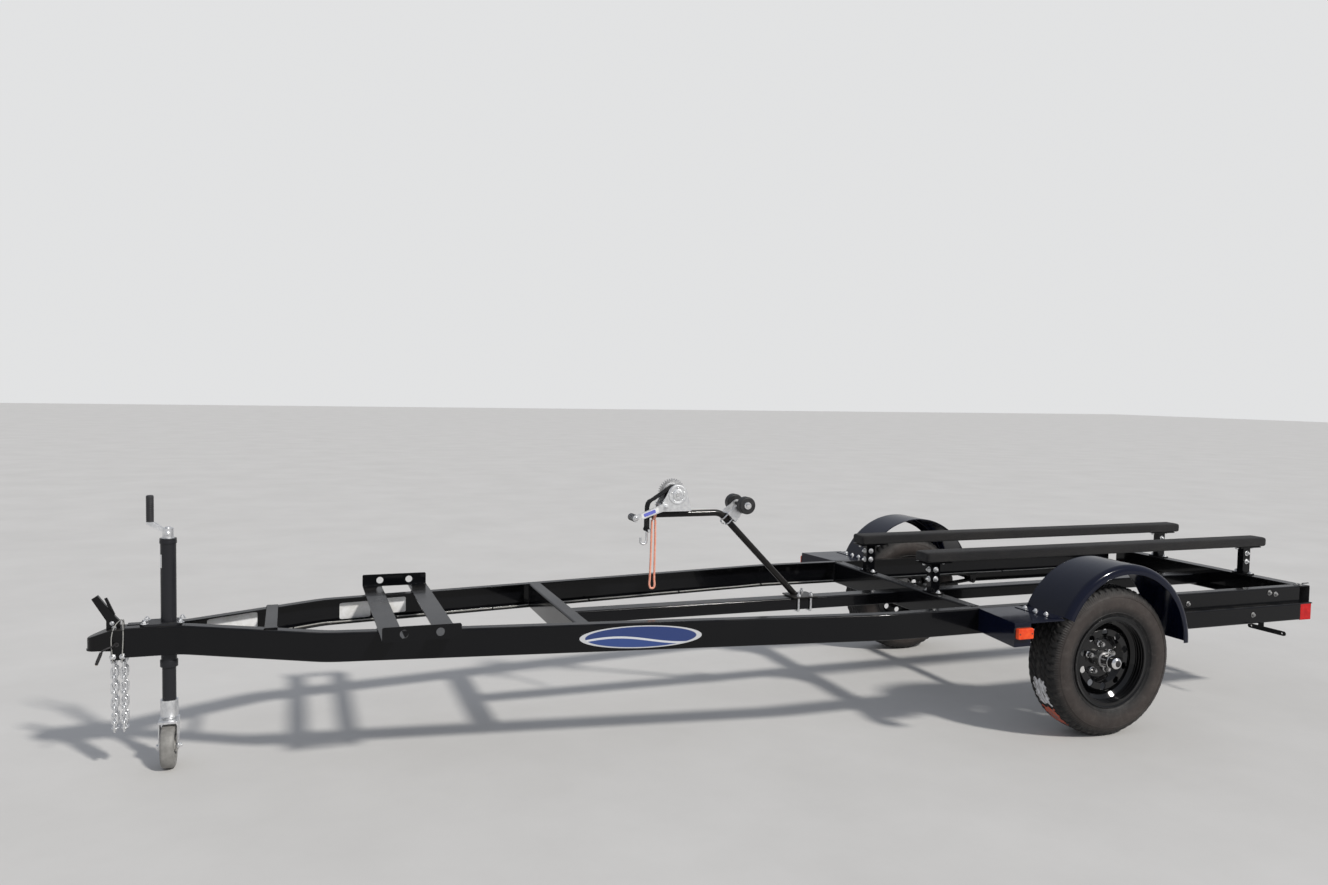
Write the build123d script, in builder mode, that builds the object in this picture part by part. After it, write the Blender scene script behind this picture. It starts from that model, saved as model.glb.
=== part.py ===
from build123d import *
import os
from math import asin, atan2, cos, degrees, pi, radians, sin, sqrt, tan

# A single-axle boat trailer parked on its tongue jack. Millimetres.
# +X is to the rear, +Y to the trailer's right, +Z up, and z = 0 is the floor.
# The origin is the middle of the trailer's length and width, on the floor.
# Places along X are given from the axle, negative ahead of it, and moved by axle_x.

os.makedirs("parts", exist_ok=True)

# Length, from the axle
nose_reach = 3690.0
tail_reach = 1393.0
axle_x = (nose_reach - tail_reach) / 2

# Clearances
running = 0.1
seat_gap = 0.3
moving_gap = 5.0

# Wheels and axle
tyre_radius = 300.0
tyre_width = 172.0
half_track = 706.0
rim_flange_radius = 182.5
rim_half_width = 72.0
rim_wall = 3.5
bead_radius = 165.0
well_radius = 148.0
disc_wall = 4.0
disc_bulge = 26.0
wheel_hole_count = 10
wheel_hole_radius = 14.0
wheel_hole_circle = 108.0
lug_count = 5
lug_circle = 57.15
stud_radius = 6.35
nut_radius = 11.0
nut_height = 18.0
hub_flange_radius = 72.0
hub_flange = 9.0
hub_inner_length = 60.0
hub_outer_length = 34.0
hub_radius = 36.0
hub_nose_radius = 31.0
cap_radius = 25.0
cap_length = 30.0
spindle_radius = 16.0
axle_radius = 25.4
axle_z = tyre_radius

# Main rails: bent channels with the web outside
rail_top = 500.0
rail_height = 101.6
rail_flange = 42.0
rail_wall = 4.8
rail_bend = 7.0
# x from the axle, half width to the web's outer face, radius of the bend there
rail_line = [
    (-3567.0, 50.0, None),
    (-3400.0, 50.0, 120.0),
    (-2926.0, 301.0, 250.0),
    (-888.0, 577.0, 700.0),
    (1271.0, 577.0, None),
]
rail_bottom = rail_top - rail_height
tongue_front = rail_line[0][0]
tongue_half = rail_line[0][1]
frame_half = rail_line[-1][1]
rail_rear = rail_line[-1][0]
flange_tip = frame_half - rail_flange
chain_notch = 17.0

# Cross-members and centre beam
member_flange = 49.0
front_member_x = -2079.0
axle_member_x = -500.0
rear_member_flange = 64.0
beam_height = 51.0
beam_width = 76.0
beam_wall = 4.8
beam_top = 462.0
beam_slack = 0.5
strap_x = -3102.0
strap_width = 40.0
strap_wall = 6.0
strap_overlap = 28.0

# Tray bracket on the rails
tray_front = -2758.0
tray_length = 258.0
tray_half = 488.0
tray_bar = 75.0
tray_wall = 5.0
tray_plate_height = 50.0
tray_hole_radius = 14.0
tray_hole_spacing = 118.0

# Coupler for a 50.8 mm ball
ball_radius = 25.4
socket_slack = 0.4
socket_wall = 5.2
coupler_lip = 3.0
coupler_lip_height = 4.0
coupler_bottom = 424.0
hood_top = 478.0
hood_round = 5.0
coupler_tail = 92.0
coupler_front_length = 46.0
coupler_skirt = 392.0
coupler_inner_skirt = 450.0
coupler_wall = 5.0

# Safety chains
chain_rod = 7.0
link_inner_length = 30.0
link_inner_width = 9.0
chain_bar_radius = 4.0
chain_bar_z = 404.0
# x from the axle, number of links in each strand
chains = [(-3604.0, 10), (-3574.0, 10)]

# Trailer wiring: x from the axle, y, z along the lead from the grommet to the plug
lead_radius = 3.0
lead_route = [
    (-3592.0, -46.2, 446.0), (-3600.0, -74.0, 447.0), (-3616.0, -84.0, 443.0),
    (-3630.0, -82.0, 436.0), (-3635.0, -78.0, 424.0),
]
grommet_radius = 8.0
grommet_wall = 4.0
plug_size = (24.0, 10.0, 36.0)

# Tongue jack
jack_x = -3436.0
jack_tube_radius = 25.4
jack_tube_low = 349.0
jack_tube_top = 790.0
jack_cap = 8.0
jack_leg_radius = 22.4
jack_leg_length = 380.0
jack_plate = (130.0, 92.0, 8.0)
jack_plate_shift = -22.0
caster_radius = 76.0
caster_width = 45.0
caster_round = 9.0
caster_trail = 30.0
caster_pin_radius = 6.0
caster_plate_gap = 8.0
fork_wall = 4.0
fork_plate = 7.0
kingpin_radius = 8.0
socket_radius = 28.5
socket_height = 60.0
socket_floor = 20.0
crank_hub_radius = 18.0
crank_hub_height = 35.0
crank_reach = 56.0
grip_radius = 11.5
grip_length = 92.0
grip_low = 58.0

# Springs
spring_y = 556.0
leaf_width = 44.0
leaf_wall = 7.0
leaf_radius = 2700.0
leaf_lengths = [300.0, 480.0, 660.0]
spring_pad = 6.0
eye_radius = 14.0
eye_pin_radius = 6.4
hanger_wall = 5.0

# Fenders
fender_x = 24.0
fender_radius = 326.0
fender_wall = 2.5
fender_inner = 600.0
fender_outer = 830.0
fender_skirt = 35.0
fender_roll = 24.0
fender_z = 366.0
fender_flange = 64.0

# Fender stub ahead of the wheel, and its lamp
stub_front_inner = -485.0
stub_front_outer = -522.0
stub_rear = -292.0
stub_outer = 835.0
stub_wall = 5.0
stub_skirt = 90.0
side_lamp = (70.0, 20.0, 40.0)
side_lamp_drop = 18.0

# Side bars behind the wheels, tail lamps and licence bracket
bar_height = 76.0
bar_top = 430.0
bar_depth = 35.0
bar_wall = 4.8
bar_web_rear = 1237.0
bar_flange_rear = 1310.0
tail_lamp_length = 68.0
licence_x = 1020.0
licence_bar = (4.0, 185.0, 20.0)
licence_inner = 530.0
licence_stem = (4.0, 26.0, 17.0)
licence_hole_radius = 4.0
licence_hole_spacing = 150.0

# Bunks
bunk_front = -538.0
bunk_y = 256.0
bunk_width = 95.0
bunk_height = 45.0
bunk_top = 679.0
bunk_round = 8.0
bracket_width = 44.0
bracket_depth = 32.0
bracket_wall = 5.0
saddle_length = 130.0

# Winch post
post_radius = 13.5
pad_x = -972.0
post_foot = -997.0
pad_size = (115.0, 110.0, 6.0)
post_bend_x = -1356.0
arm_z = 834.0
arm_front = -1667.0
post_bend_radius = 60.0
ubolt_radius = 4.75
ubolt_spacing = 58.0

# Winch
winch_x = arm_front + 108.0
winch_base = (120.0, 68.0, 4.0)
winch_axis_height = 67.5
winch_plate = 4.0
winch_inner = 30.0
winch_plate_radius = 42.0
gear_teeth = 36
gear_module = 3.2
gear_width = 8.0
pinion_teeth = 9
pinion_angle = 220.0
drum_radius = 18.0
drum_shaft_radius = 8.0
strap_roll = 20.0
webbing_width = 50.0
webbing_wall = 2.5
winch_crank_length = 132.0
winch_crank_angle = 200.0
winch_grip_radius = 14.0
winch_grip_length = 66.0

# Tie rope: turns round the arm and a hanging loop; x from its turns, y, z down and up again
rope_radius = 4.5
rope_turns = 2
rope_x = arm_front + 17.0
rope_route = [
    (-8.0, 0.0, 810.9), (-10.0, -3.0, 735.0), (-9.0, 2.0, 665.0), (-12.0, -1.0, 605.0),
    (-13.0, 0.0, 567.0), (-15.0, 1.0, 545.0), (-10.0, 0.0, 530.5), (5.0, 0.0, 530.5),
    (9.0, -1.0, 545.0), (6.0, 1.0, 567.0), (8.0, 3.0, 605.0), (6.0, -2.0, 665.0),
    (9.0, 2.0, 735.0), (7.0, 0.0, 810.9),
]

# Bow roller
roller_height = 88.0
roller_below_bend = 38.0
roller_radius = 36.0
roller_half = 80.0
roller_width = 38.0
roller_round = 6.0
roller_pin_radius = 8.0
ear_wall = 4.0

flip_sides = ("left", "right")


def at(from_axle):
    """The part's own x for a place given from the axle."""
    return axle_x + from_axle


def web_half(from_axle):
    """Half width over the rails' webs at a place along the trailer."""
    for (x0, w0, _), (x1, w1, _) in zip(rail_line, rail_line[1:]):
        if from_axle <= x1:
            return w0 + (w1 - w0) * (from_axle - x0) / (x1 - x0)
    return frame_half


def channel(plane, height, flange, wall, bend):
    """A channel's section: its web on the plane's y axis, its flanges along +x."""
    inner = bend - wall
    points = [
        (0, 0), (flange, 0), (flange, wall), (wall, wall),
        (wall, height - wall), (flange, height - wall), (flange, height), (0, height),
    ]
    with BuildSketch(plane) as section:
        with BuildLine():
            FilletPolyline(*points, radius=[bend, 0, 0, inner, inner, 0, 0, bend], close=True)
        make_face()
    return section.sketch


def polygon(plane, points):
    """A flat outline on a plane."""
    with BuildSketch(plane) as outline:
        with BuildLine():
            Polyline(*points, close=True)
        make_face()
    return outline.sketch


# Main rails, each one channel bent twice in plan, with a hole for the jack's tube
for side in flip_sides:
    with BuildPart() as rail:
        with BuildLine() as route:
            FilletPolyline(
                *[(at(x), -half, rail_bottom) for x, half, bend in rail_line],
                radius=[bend for x, half, bend in rail_line if bend],
            )
        start = Plane(origin=route.line @ 0, x_dir=(0, 1, 0), z_dir=route.line % 0)
        sweep(channel(start, rail_height, rail_flange, rail_wall, rail_bend), path=route.line)
        with Locations((at(jack_x), 0, rail_bottom)):
            Cylinder(
                jack_tube_radius + seat_gap, rail_height,
                align=(Align.CENTER, Align.CENTER, Align.MIN), mode=Mode.SUBTRACT,
            )
        # The lower flange is notched at the front, where the chains hang
        with Locations((at(tongue_front), 0, rail_bottom)):
            Box(
                chain_notch, 2 * (tongue_half - rail_bend), rail_wall,
                align=(Align.MIN, Align.CENTER, Align.MIN), mode=Mode.SUBTRACT,
            )
        if side == "right":
            mirror(about=Plane.XZ, mode=Mode.REPLACE)
    rail.part.label = f"rail_{side}"
    export_step(rail.part, f"parts/rail_{side}.step")

# Front cross-member: a channel with its web ahead, mitred to the rails' flange tips
front_half = web_half(front_member_x)
front_slope = degrees(atan2(web_half(front_member_x + 100) - front_half, 100))
front_tip = front_half - rail_flange / cos(radians(front_slope))
with BuildPart() as crossmember_front:
    plane = Plane(origin=(at(front_member_x), frame_half, rail_bottom), x_dir=(1, 0, 0), z_dir=(0, -1, 0))
    extrude(channel(plane, rail_height, member_flange, rail_wall, rail_bend), amount=2 * frame_half)
    for turn in (-1, 1):
        outward = Vector(-sin(radians(front_slope)), turn * cos(radians(front_slope)), 0)
        split(
            bisect_by=Plane(origin=(at(front_member_x), turn * front_tip, rail_top), z_dir=outward),
            keep=Keep.BOTTOM,
        )
crossmember_front.part.label = "crossmember_front"
export_step(crossmember_front.part, "parts/crossmember_front.step")

# Cross-member over the axle, cut out for the centre beam
with BuildPart() as crossmember_axle:
    plane = Plane(origin=(at(axle_member_x), flange_tip, rail_bottom), x_dir=(1, 0, 0), z_dir=(0, -1, 0))
    extrude(channel(plane, rail_height, member_flange, rail_wall, rail_bend), amount=2 * flange_tip)
    with Locations((at(axle_member_x), 0, beam_top - beam_height - beam_slack)):
        Box(
            member_flange, beam_width + 2 * beam_slack, beam_height + 2 * beam_slack,
            align=(Align.MIN, Align.CENTER, Align.MIN), mode=Mode.SUBTRACT,
        )
crossmember_axle.part.label = "crossmember_axle"
export_step(crossmember_axle.part, "parts/crossmember_axle.step")

# Rear cross-member, which closes the frame with its web behind
rear_web = rail_rear + rear_member_flange
with BuildPart() as crossmember_rear:
    plane = Plane(origin=(at(rear_web), -frame_half, rail_bottom), x_dir=(-1, 0, 0), z_dir=(0, 1, 0))
    extrude(channel(plane, rail_height, rear_member_flange, rail_wall, rail_bend), amount=2 * frame_half)
crossmember_rear.part.label = "crossmember_rear"
export_step(crossmember_rear.part, "parts/crossmember_rear.step")

# Centre beam, a box tube between the front and the rear cross-members' webs
beam_front = front_member_x + rail_wall
beam_rear = rear_web - rail_wall
with BuildPart() as centre_beam:
    with BuildSketch(Plane.YZ.offset(at(beam_front))):
        with Locations((0, beam_top - beam_height / 2)):
            RectangleRounded(beam_width, beam_height, rail_bend)
            RectangleRounded(
                beam_width - 2 * beam_wall, beam_height - 2 * beam_wall, rail_bend - beam_wall,
                mode=Mode.SUBTRACT,
            )
    extrude(amount=beam_rear - beam_front)
centre_beam.part.label = "centre_beam"
export_step(centre_beam.part, "parts/centre_beam.step")

# Flat strap across the narrow part of the frame
with BuildPart() as cross_strap:
    with Locations((at(strap_x), 0, rail_top)):
        Box(
            strap_width, 2 * (web_half(strap_x) - rail_flange + strap_overlap), strap_wall,
            align=(Align.CENTER, Align.CENTER, Align.MIN),
        )
cross_strap.part.label = "cross_strap"
export_step(cross_strap.part, "parts/cross_strap.step")

# Tray bracket: two flat bars across the rails, and an upright drilled plate at each end
for name, bar_x in (("tray_bar_front", tray_front), ("tray_bar_rear", tray_front + tray_length - tray_bar)):
    with BuildPart() as tray_cross:
        with Locations((at(bar_x), 0, rail_top)):
            Box(
                tray_bar, 2 * (tray_half - tray_wall), tray_wall,
                align=(Align.MIN, Align.CENTER, Align.MIN),
            )
    tray_cross.part.label = name
    export_step(tray_cross.part, f"parts/{name}.step")

for side in flip_sides:
    with BuildPart() as tray_plate:
        with BuildSketch(Plane.XZ.offset(tray_half)):
            with Locations((at(tray_front + tray_length / 2), rail_top + tray_plate_height / 2)):
                RectangleRounded(tray_length, tray_plate_height, 6)
                with GridLocations(tray_hole_spacing, 0, 2, 1):
                    Circle(tray_hole_radius, mode=Mode.SUBTRACT)
        extrude(amount=-tray_wall)
        if side == "right":
            mirror(about=Plane.XZ, mode=Mode.REPLACE)
    tray_plate.part.label = f"tray_plate_{side}"
    export_step(tray_plate.part, f"parts/tray_plate_{side}.step")

# Coupler: a ball socket with a lip, on a channel that slides between the rails' webs
socket_radius_out = ball_radius + socket_slack + socket_wall
ball_x = -nose_reach + socket_radius_out + coupler_lip
ball_z = coupler_bottom + ball_radius * 0.85
channel_half = tongue_half - rail_wall
channel_top = rail_top - rail_wall
channel_front = ball_x + coupler_front_length
with BuildPart() as coupler:
    # The channel, open below
    with BuildSketch(Plane.YZ.offset(at(channel_front))):
        with BuildLine():
            corner = rail_bend - rail_wall + seat_gap
            Polyline(
                (-channel_half, coupler_skirt), (-channel_half, channel_top - corner),
                (-channel_half + corner, channel_top), (channel_half - corner, channel_top),
                (channel_half, channel_top - corner), (channel_half, coupler_skirt),
                (channel_half - coupler_wall, coupler_skirt),
                (channel_half - coupler_wall, channel_top - coupler_wall),
                (-channel_half + coupler_wall, channel_top - coupler_wall),
                (-channel_half + coupler_wall, coupler_skirt), close=True,
            )
        make_face()
    extrude(amount=tongue_front + coupler_tail - channel_front)
    # The skirt is cut away behind the chain bars, inside the tongue
    with Locations((at(tongue_front - seat_gap), 0, coupler_skirt)):
        Box(
            coupler_tail + 1, 2 * channel_half, coupler_inner_skirt - coupler_skirt,
            align=(Align.MIN, Align.CENTER, Align.MIN), mode=Mode.SUBTRACT,
        )
    # The nose, from the channel's width to the round socket, its hood sloping down to the front
    with BuildSketch(Plane.XY.offset(coupler_bottom)) as nose_plan:
        with Locations((at(ball_x), 0)):
            Circle(socket_radius_out)
        with Locations((at(channel_front), 0)):
            Rectangle(coupler_wall, 2 * channel_half, align=(Align.MIN, Align.CENTER))
        make_hull()
    extrude(amount=channel_top - coupler_bottom)
    hood_slope = (channel_top - hood_top) / coupler_front_length
    split(
        bisect_by=Plane(origin=(at(channel_front), 0, channel_top), z_dir=(-hood_slope, 0, 1)),
        keep=Keep.BOTTOM,
    )
    hood = coupler.faces().filter_by(lambda face: face.normal_at().X < -0.1 and face.normal_at().Z > 0.5)
    fillet(hood.edges().filter_by(lambda edge: edge.center().X < at(channel_front) - 1), radius=hood_round)
    # The lip round the socket's mouth
    with BuildSketch(Plane.XY.offset(coupler_bottom)):
        with Locations((at(ball_x), 0)):
            Circle(socket_radius_out + coupler_lip)
    extrude(amount=coupler_lip_height)
    # The ball's seat and its mouth
    with Locations((at(ball_x), 0, ball_z)):
        Sphere(ball_radius + socket_slack, mode=Mode.SUBTRACT)
        Cylinder(
            ball_radius + socket_slack, ball_z - coupler_bottom,
            align=(Align.CENTER, Align.CENTER, Align.MAX), mode=Mode.SUBTRACT,
        )
    # Two bars across the skirt carry the safety chains
    for bar_x, _ in chains:
        with Locations((at(bar_x), 0, chain_bar_z)):
            Cylinder(chain_bar_radius, 2 * channel_half, rotation=(90, 0, 0))
coupler.part.label = "coupler"
export_step(coupler.part, "parts/coupler.step")

# Coupler latch: housing, lifting lever and its trigger, on the coupler's top
latch_x = ball_x + 52.0
latch_z = channel_top + 6.0
with BuildPart() as coupler_latch:
    latch_front = latch_x - 24
    lever = [
        (latch_front, channel_top - hood_slope * (channel_front - latch_front)),
        (latch_front, latch_z + 20), (latch_x - 68, latch_z + 96), (latch_x - 50, latch_z + 108),
        (latch_x + 6, latch_z + 30), (latch_x + 18, latch_z + 16), (latch_x + 18, channel_top),
        (channel_front, channel_top),
    ]
    extrude(polygon(Plane.XZ, [(at(x), z) for x, z in lever]), amount=9, both=True)
    trigger = [
        (latch_x - 12, latch_z + 50), (latch_x - 30, latch_z + 96), (latch_x - 22, latch_z + 99),
        (latch_x + 2, latch_z + 42), (latch_x + 2, latch_z + 26),
    ]
    extrude(polygon(Plane.XZ, [(at(x), z) for x, z in trigger]), amount=4, both=True)
coupler_latch.part.label = "coupler_latch"
export_step(coupler_latch.part, "parts/coupler_latch.step")


def chain_link(plane):
    """One link: a flat oval ring of square rod, its long axis along the plane's y."""
    with BuildPart() as link:
        with BuildSketch(plane.offset(-chain_rod / 2)):
            SlotCenterToCenter(
                link_inner_length - link_inner_width, link_inner_width + 2 * chain_rod, rotation=90
            )
            SlotCenterToCenter(
                link_inner_length - link_inner_width, link_inner_width, rotation=90, mode=Mode.SUBTRACT
            )
        extrude(amount=chain_rod)
    return link.part


def link_seat(width):
    """How far a flat bar of some width stands off the round end of a link's opening."""
    half = link_inner_width / 2
    return half - sqrt(half**2 - (width / 2) ** 2)


# Safety chains: each hangs doubled from its bar, link in link, with one link across below
link_pitch = link_inner_length - 2 * link_seat(chain_rod) - seat_gap
low_bar = chain_rod + link_seat(chain_rod)
chain_spread = link_inner_length / 2 - link_seat(chain_rod) + low_bar / 2
with BuildPart() as safety_chains:
    for bar_x, link_count in chains:
        first_z = chain_bar_z + chain_bar_radius + seat_gap - link_inner_length / 2
        for y in (-chain_spread, chain_spread):
            for number in range(link_count):
                z = first_z - number * link_pitch
                across = (1, 0, 0) if number % 2 == 0 else (0, 1, 0)
                facing = (0, -1, 0) if number % 2 == 0 else (1, 0, 0)
                add(chain_link(Plane(origin=(at(bar_x), y, z), x_dir=across, z_dir=facing)))
        inner_end = first_z - (link_count - 1) * link_pitch - link_inner_length / 2
        lowest_z = inner_end + link_seat(low_bar) + chain_rod / 2 + seat_gap
        add(chain_link(Plane(origin=(at(bar_x), 0, lowest_z), x_dir=(1, 0, 0), z_dir=(0, 0, 1))))
safety_chains.part.label = "safety_chains"
export_step(safety_chains.part, "parts/safety_chains.step")

# Tongue jack's fixed tube, with its mounting plate on the rails and its closed top
with BuildPart() as jack_tube:
    with Locations((at(jack_x + jack_plate_shift), 0, rail_top)):
        Box(*jack_plate, align=(Align.CENTER, Align.CENTER, Align.MIN))
    chamfer(jack_tube.edges().filter_by(Axis.Z), length=14)
    with Locations((at(jack_x), 0, jack_tube_low)):
        Cylinder(
            jack_tube_radius, jack_tube_top - jack_tube_low,
            align=(Align.CENTER, Align.CENTER, Align.MIN),
        )
    with Locations((at(jack_x), 0, jack_tube_top)):
        Cylinder(jack_tube_radius + 2, jack_cap, align=(Align.CENTER, Align.CENTER, Align.MIN))
    with Locations((at(jack_x), 0, jack_tube_low)):
        Cylinder(
            jack_leg_radius + running, jack_tube_top - jack_tube_low - jack_cap,
            align=(Align.CENTER, Align.CENTER, Align.MIN), mode=Mode.SUBTRACT,
        )
jack_tube.part.label = "jack_tube"
export_step(jack_tube.part, "parts/jack_tube.step")

# Jack crank on the tube's top: hub, arm and upright grip
crank_low = jack_tube_top + jack_cap
with BuildPart() as jack_crank:
    with Locations((at(jack_x), 0, crank_low)):
        Cylinder(crank_hub_radius, crank_hub_height, align=(Align.CENTER, Align.CENTER, Align.MIN))
    arm = [
        (jack_x + crank_hub_radius - 2, crank_low + 14), (jack_x, crank_low + 14),
        (jack_x - crank_reach - 10, crank_low + grip_low - 8), (jack_x - crank_reach - 10, crank_low + grip_low),
        (jack_x - crank_reach + 10, crank_low + grip_low), (jack_x, crank_low + 24),
        (jack_x + crank_hub_radius - 2, crank_low + 24),
    ]
    extrude(polygon(Plane.XZ, [(at(x), z) for x, z in arm]), amount=9, both=True)
    with Locations((at(jack_x - crank_reach), 0, crank_low + grip_low)):
        Cylinder(grip_radius, grip_length, align=(Align.CENTER, Align.CENTER, Align.MIN))
    fillet(jack_crank.edges().group_by(Axis.Z)[-1], radius=4)
jack_crank.part.label = "jack_crank"
export_step(jack_crank.part, "parts/jack_crank.step")

# The jack's sliding leg and the zinc socket fixed on its foot
fork_top = 2 * caster_radius + caster_plate_gap + fork_plate
socket_low = fork_top + moving_gap
leg_low = socket_low + socket_floor
with BuildPart() as jack_leg:
    with Locations((at(jack_x), 0, leg_low)):
        Cylinder(jack_leg_radius, jack_leg_length, align=(Align.CENTER, Align.CENTER, Align.MIN))
        Cylinder(
            jack_leg_radius - 4, jack_leg_length,
            align=(Align.CENTER, Align.CENTER, Align.MIN), mode=Mode.SUBTRACT,
        )
jack_leg.part.label = "jack_leg"
export_step(jack_leg.part, "parts/jack_leg.step")

with BuildPart() as caster_socket:
    with Locations((at(jack_x), 0, socket_low)):
        Cylinder(socket_radius, socket_height, align=(Align.CENTER, Align.CENTER, Align.MIN))
        Cylinder(
            kingpin_radius + running, socket_height,
            align=(Align.CENTER, Align.CENTER, Align.MIN), mode=Mode.SUBTRACT,
        )
    with Locations((at(jack_x), 0, leg_low)):
        Cylinder(
            jack_leg_radius + running, socket_height,
            align=(Align.CENTER, Align.CENTER, Align.MIN), mode=Mode.SUBTRACT,
        )
    chamfer(caster_socket.edges().group_by(Axis.Z)[0].sort_by(SortBy.RADIUS)[-1], length=3)
caster_socket.part.label = "caster_socket"
export_step(caster_socket.part, "parts/caster_socket.step")

# Caster fork: kingpin, top plate, two cheeks and the wheel's pin
cheek_inner = caster_width / 2 + moving_gap
cheek_outer = cheek_inner + fork_wall
with BuildPart() as caster_fork:
    with BuildSketch(Plane.XY.offset(fork_top - fork_plate)):
        with Locations((at(jack_x), -caster_trail / 2)):
            RectangleRounded(2 * cheek_outer, 2 * socket_radius + caster_trail, 6)
    extrude(amount=fork_plate)
    with Locations((at(jack_x), 0, fork_top)):
        Cylinder(
            kingpin_radius, moving_gap + socket_floor - seat_gap,
            align=(Align.CENTER, Align.CENTER, Align.MIN),
        )
    for turn in (-1, 1):
        cheek_low = cheek_inner if turn > 0 else -cheek_outer
        with BuildSketch(Plane.YZ.offset(at(jack_x) + cheek_low)) as cheek:
            with Locations((-caster_trail, caster_radius)):
                Circle(15)
            with Locations((-caster_trail / 2, fork_top - fork_plate)):
                Rectangle(2 * socket_radius + 6, 2, align=(Align.CENTER, Align.MIN))
            make_hull()
        extrude(amount=fork_wall)
    with Locations((at(jack_x), -caster_trail, caster_radius)):
        Cylinder(caster_pin_radius, 2 * cheek_outer + 12, rotation=(0, 90, 0))
caster_fork.part.label = "caster_fork"
export_step(caster_fork.part, "parts/caster_fork.step")

# Caster wheel with a rounded tread
with BuildPart() as caster_wheel:
    half = caster_width / 2
    bore = caster_pin_radius + running
    with BuildSketch(Plane.XY.offset(caster_radius)):
        with BuildLine():
            FilletPolyline(
                (at(jack_x) - half, -caster_trail + bore), (at(jack_x) - half, -caster_trail + caster_radius),
                (at(jack_x) + half, -caster_trail + caster_radius), (at(jack_x) + half, -caster_trail + bore),
                radius=[0, caster_round, caster_round, 0], close=True,
            )
        make_face()
    revolve(axis=Axis((0, -caster_trail, caster_radius), (1, 0, 0)))
caster_wheel.part.label = "caster_wheel"
export_step(caster_wheel.part, "parts/caster_wheel.step")

# Axle: a round tube with a spring pad near each end and a spindle for each hub
hub_inner_y = half_track - hub_inner_length
axle_end = hub_inner_y - moving_gap
with BuildPart() as axle:
    with Locations((at(0), 0, axle_z)):
        Cylinder(axle_radius, 2 * axle_end, rotation=(90, 0, 0))
        Cylinder(spindle_radius, 2 * (half_track + hub_outer_length - 4), rotation=(90, 0, 0))
    for turn in (-1, 1):
        with Locations((at(0), turn * spring_y, axle_z)):
            Box(
                2 * axle_radius, leaf_width, axle_radius + spring_pad,
                align=(Align.CENTER, Align.CENTER, Align.MIN),
            )
axle.part.label = "axle"
export_step(axle.part, "parts/axle.step")

# Leaf springs on the axle, each leaf a shallow arc, with an eye at each end of the top leaf
leaf_z = axle_z + axle_radius + spring_pad
main_low = leaf_z + leaf_wall * (len(leaf_lengths) - 1)
eye_x = leaf_lengths[-1] / 2
arc_centre = leaf_z + leaf_radius
eye_z = arc_centre - sqrt((arc_centre - main_low) ** 2 - eye_x**2) + leaf_wall / 2
for side in flip_sides:
    with BuildPart() as spring:
        for number, length in enumerate(leaf_lengths):
            with BuildSketch(Plane.XZ.offset(spring_y)):
                with BuildLine():
                    outer = leaf_radius - number * leaf_wall
                    spread = degrees(length / 2 / leaf_radius)
                    CenterArc((at(0), arc_centre), outer, 270 - spread, 2 * spread)
                    CenterArc((at(0), arc_centre), outer - leaf_wall, 270 - spread, 2 * spread)
                    ends = [
                        [
                            Vector(at(0) + r * sin(radians(a)), arc_centre - r * cos(radians(a)))
                            for r in (outer, outer - leaf_wall)
                        ]
                        for a in (-spread, spread)
                    ]
                    for low_end, high_end in ends:
                        Line(low_end, high_end)
                make_face()
            extrude(amount=leaf_width / 2, both=True)
        for turn in (-1, 1):
            with Locations((at(turn * eye_x), -spring_y, eye_z)):
                Cylinder(eye_radius, leaf_width, rotation=(90, 0, 0))
                Cylinder(eye_pin_radius + running, leaf_width, rotation=(90, 0, 0), mode=Mode.SUBTRACT)
        if side == "right":
            mirror(about=Plane.XZ, mode=Mode.REPLACE)
    spring.part.label = f"spring_{side}"
    export_step(spring.part, f"parts/spring_{side}.step")

# Spring hangers under the rails: two ears and a bolt at each end of each spring
ear_inner = leaf_width / 2 + seat_gap
for side in flip_sides:
    with BuildPart() as spring_hanger:
        for turn in (-1, 1):
            with Locations((at(turn * eye_x), -spring_y, rail_bottom)):
                Box(
                    2 * eye_radius + 14, 2 * (ear_inner + hanger_wall), hanger_wall,
                    align=(Align.CENTER, Align.CENTER, Align.MAX),
                )
            for ear_y in (-ear_inner - hanger_wall, ear_inner):
                with BuildSketch(Plane.XZ.offset(spring_y - ear_y)) as ear:
                    with Locations((at(turn * eye_x), eye_z)):
                        Circle(eye_radius)
                    with Locations((at(turn * eye_x), rail_bottom - hanger_wall)):
                        Rectangle(2 * eye_radius + 14, 1, align=(Align.CENTER, Align.MIN))
                    make_hull()
                extrude(amount=-hanger_wall)
            with Locations((at(turn * eye_x), -spring_y, eye_z)):
                Cylinder(eye_pin_radius, 2 * (ear_inner + hanger_wall) + 10, rotation=(90, 0, 0))
        if side == "right":
            mirror(about=Plane.XZ, mode=Mode.REPLACE)
    spring_hanger.part.label = f"spring_hanger_{side}"
    export_step(spring_hanger.part, f"parts/spring_hanger_{side}.step")

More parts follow.
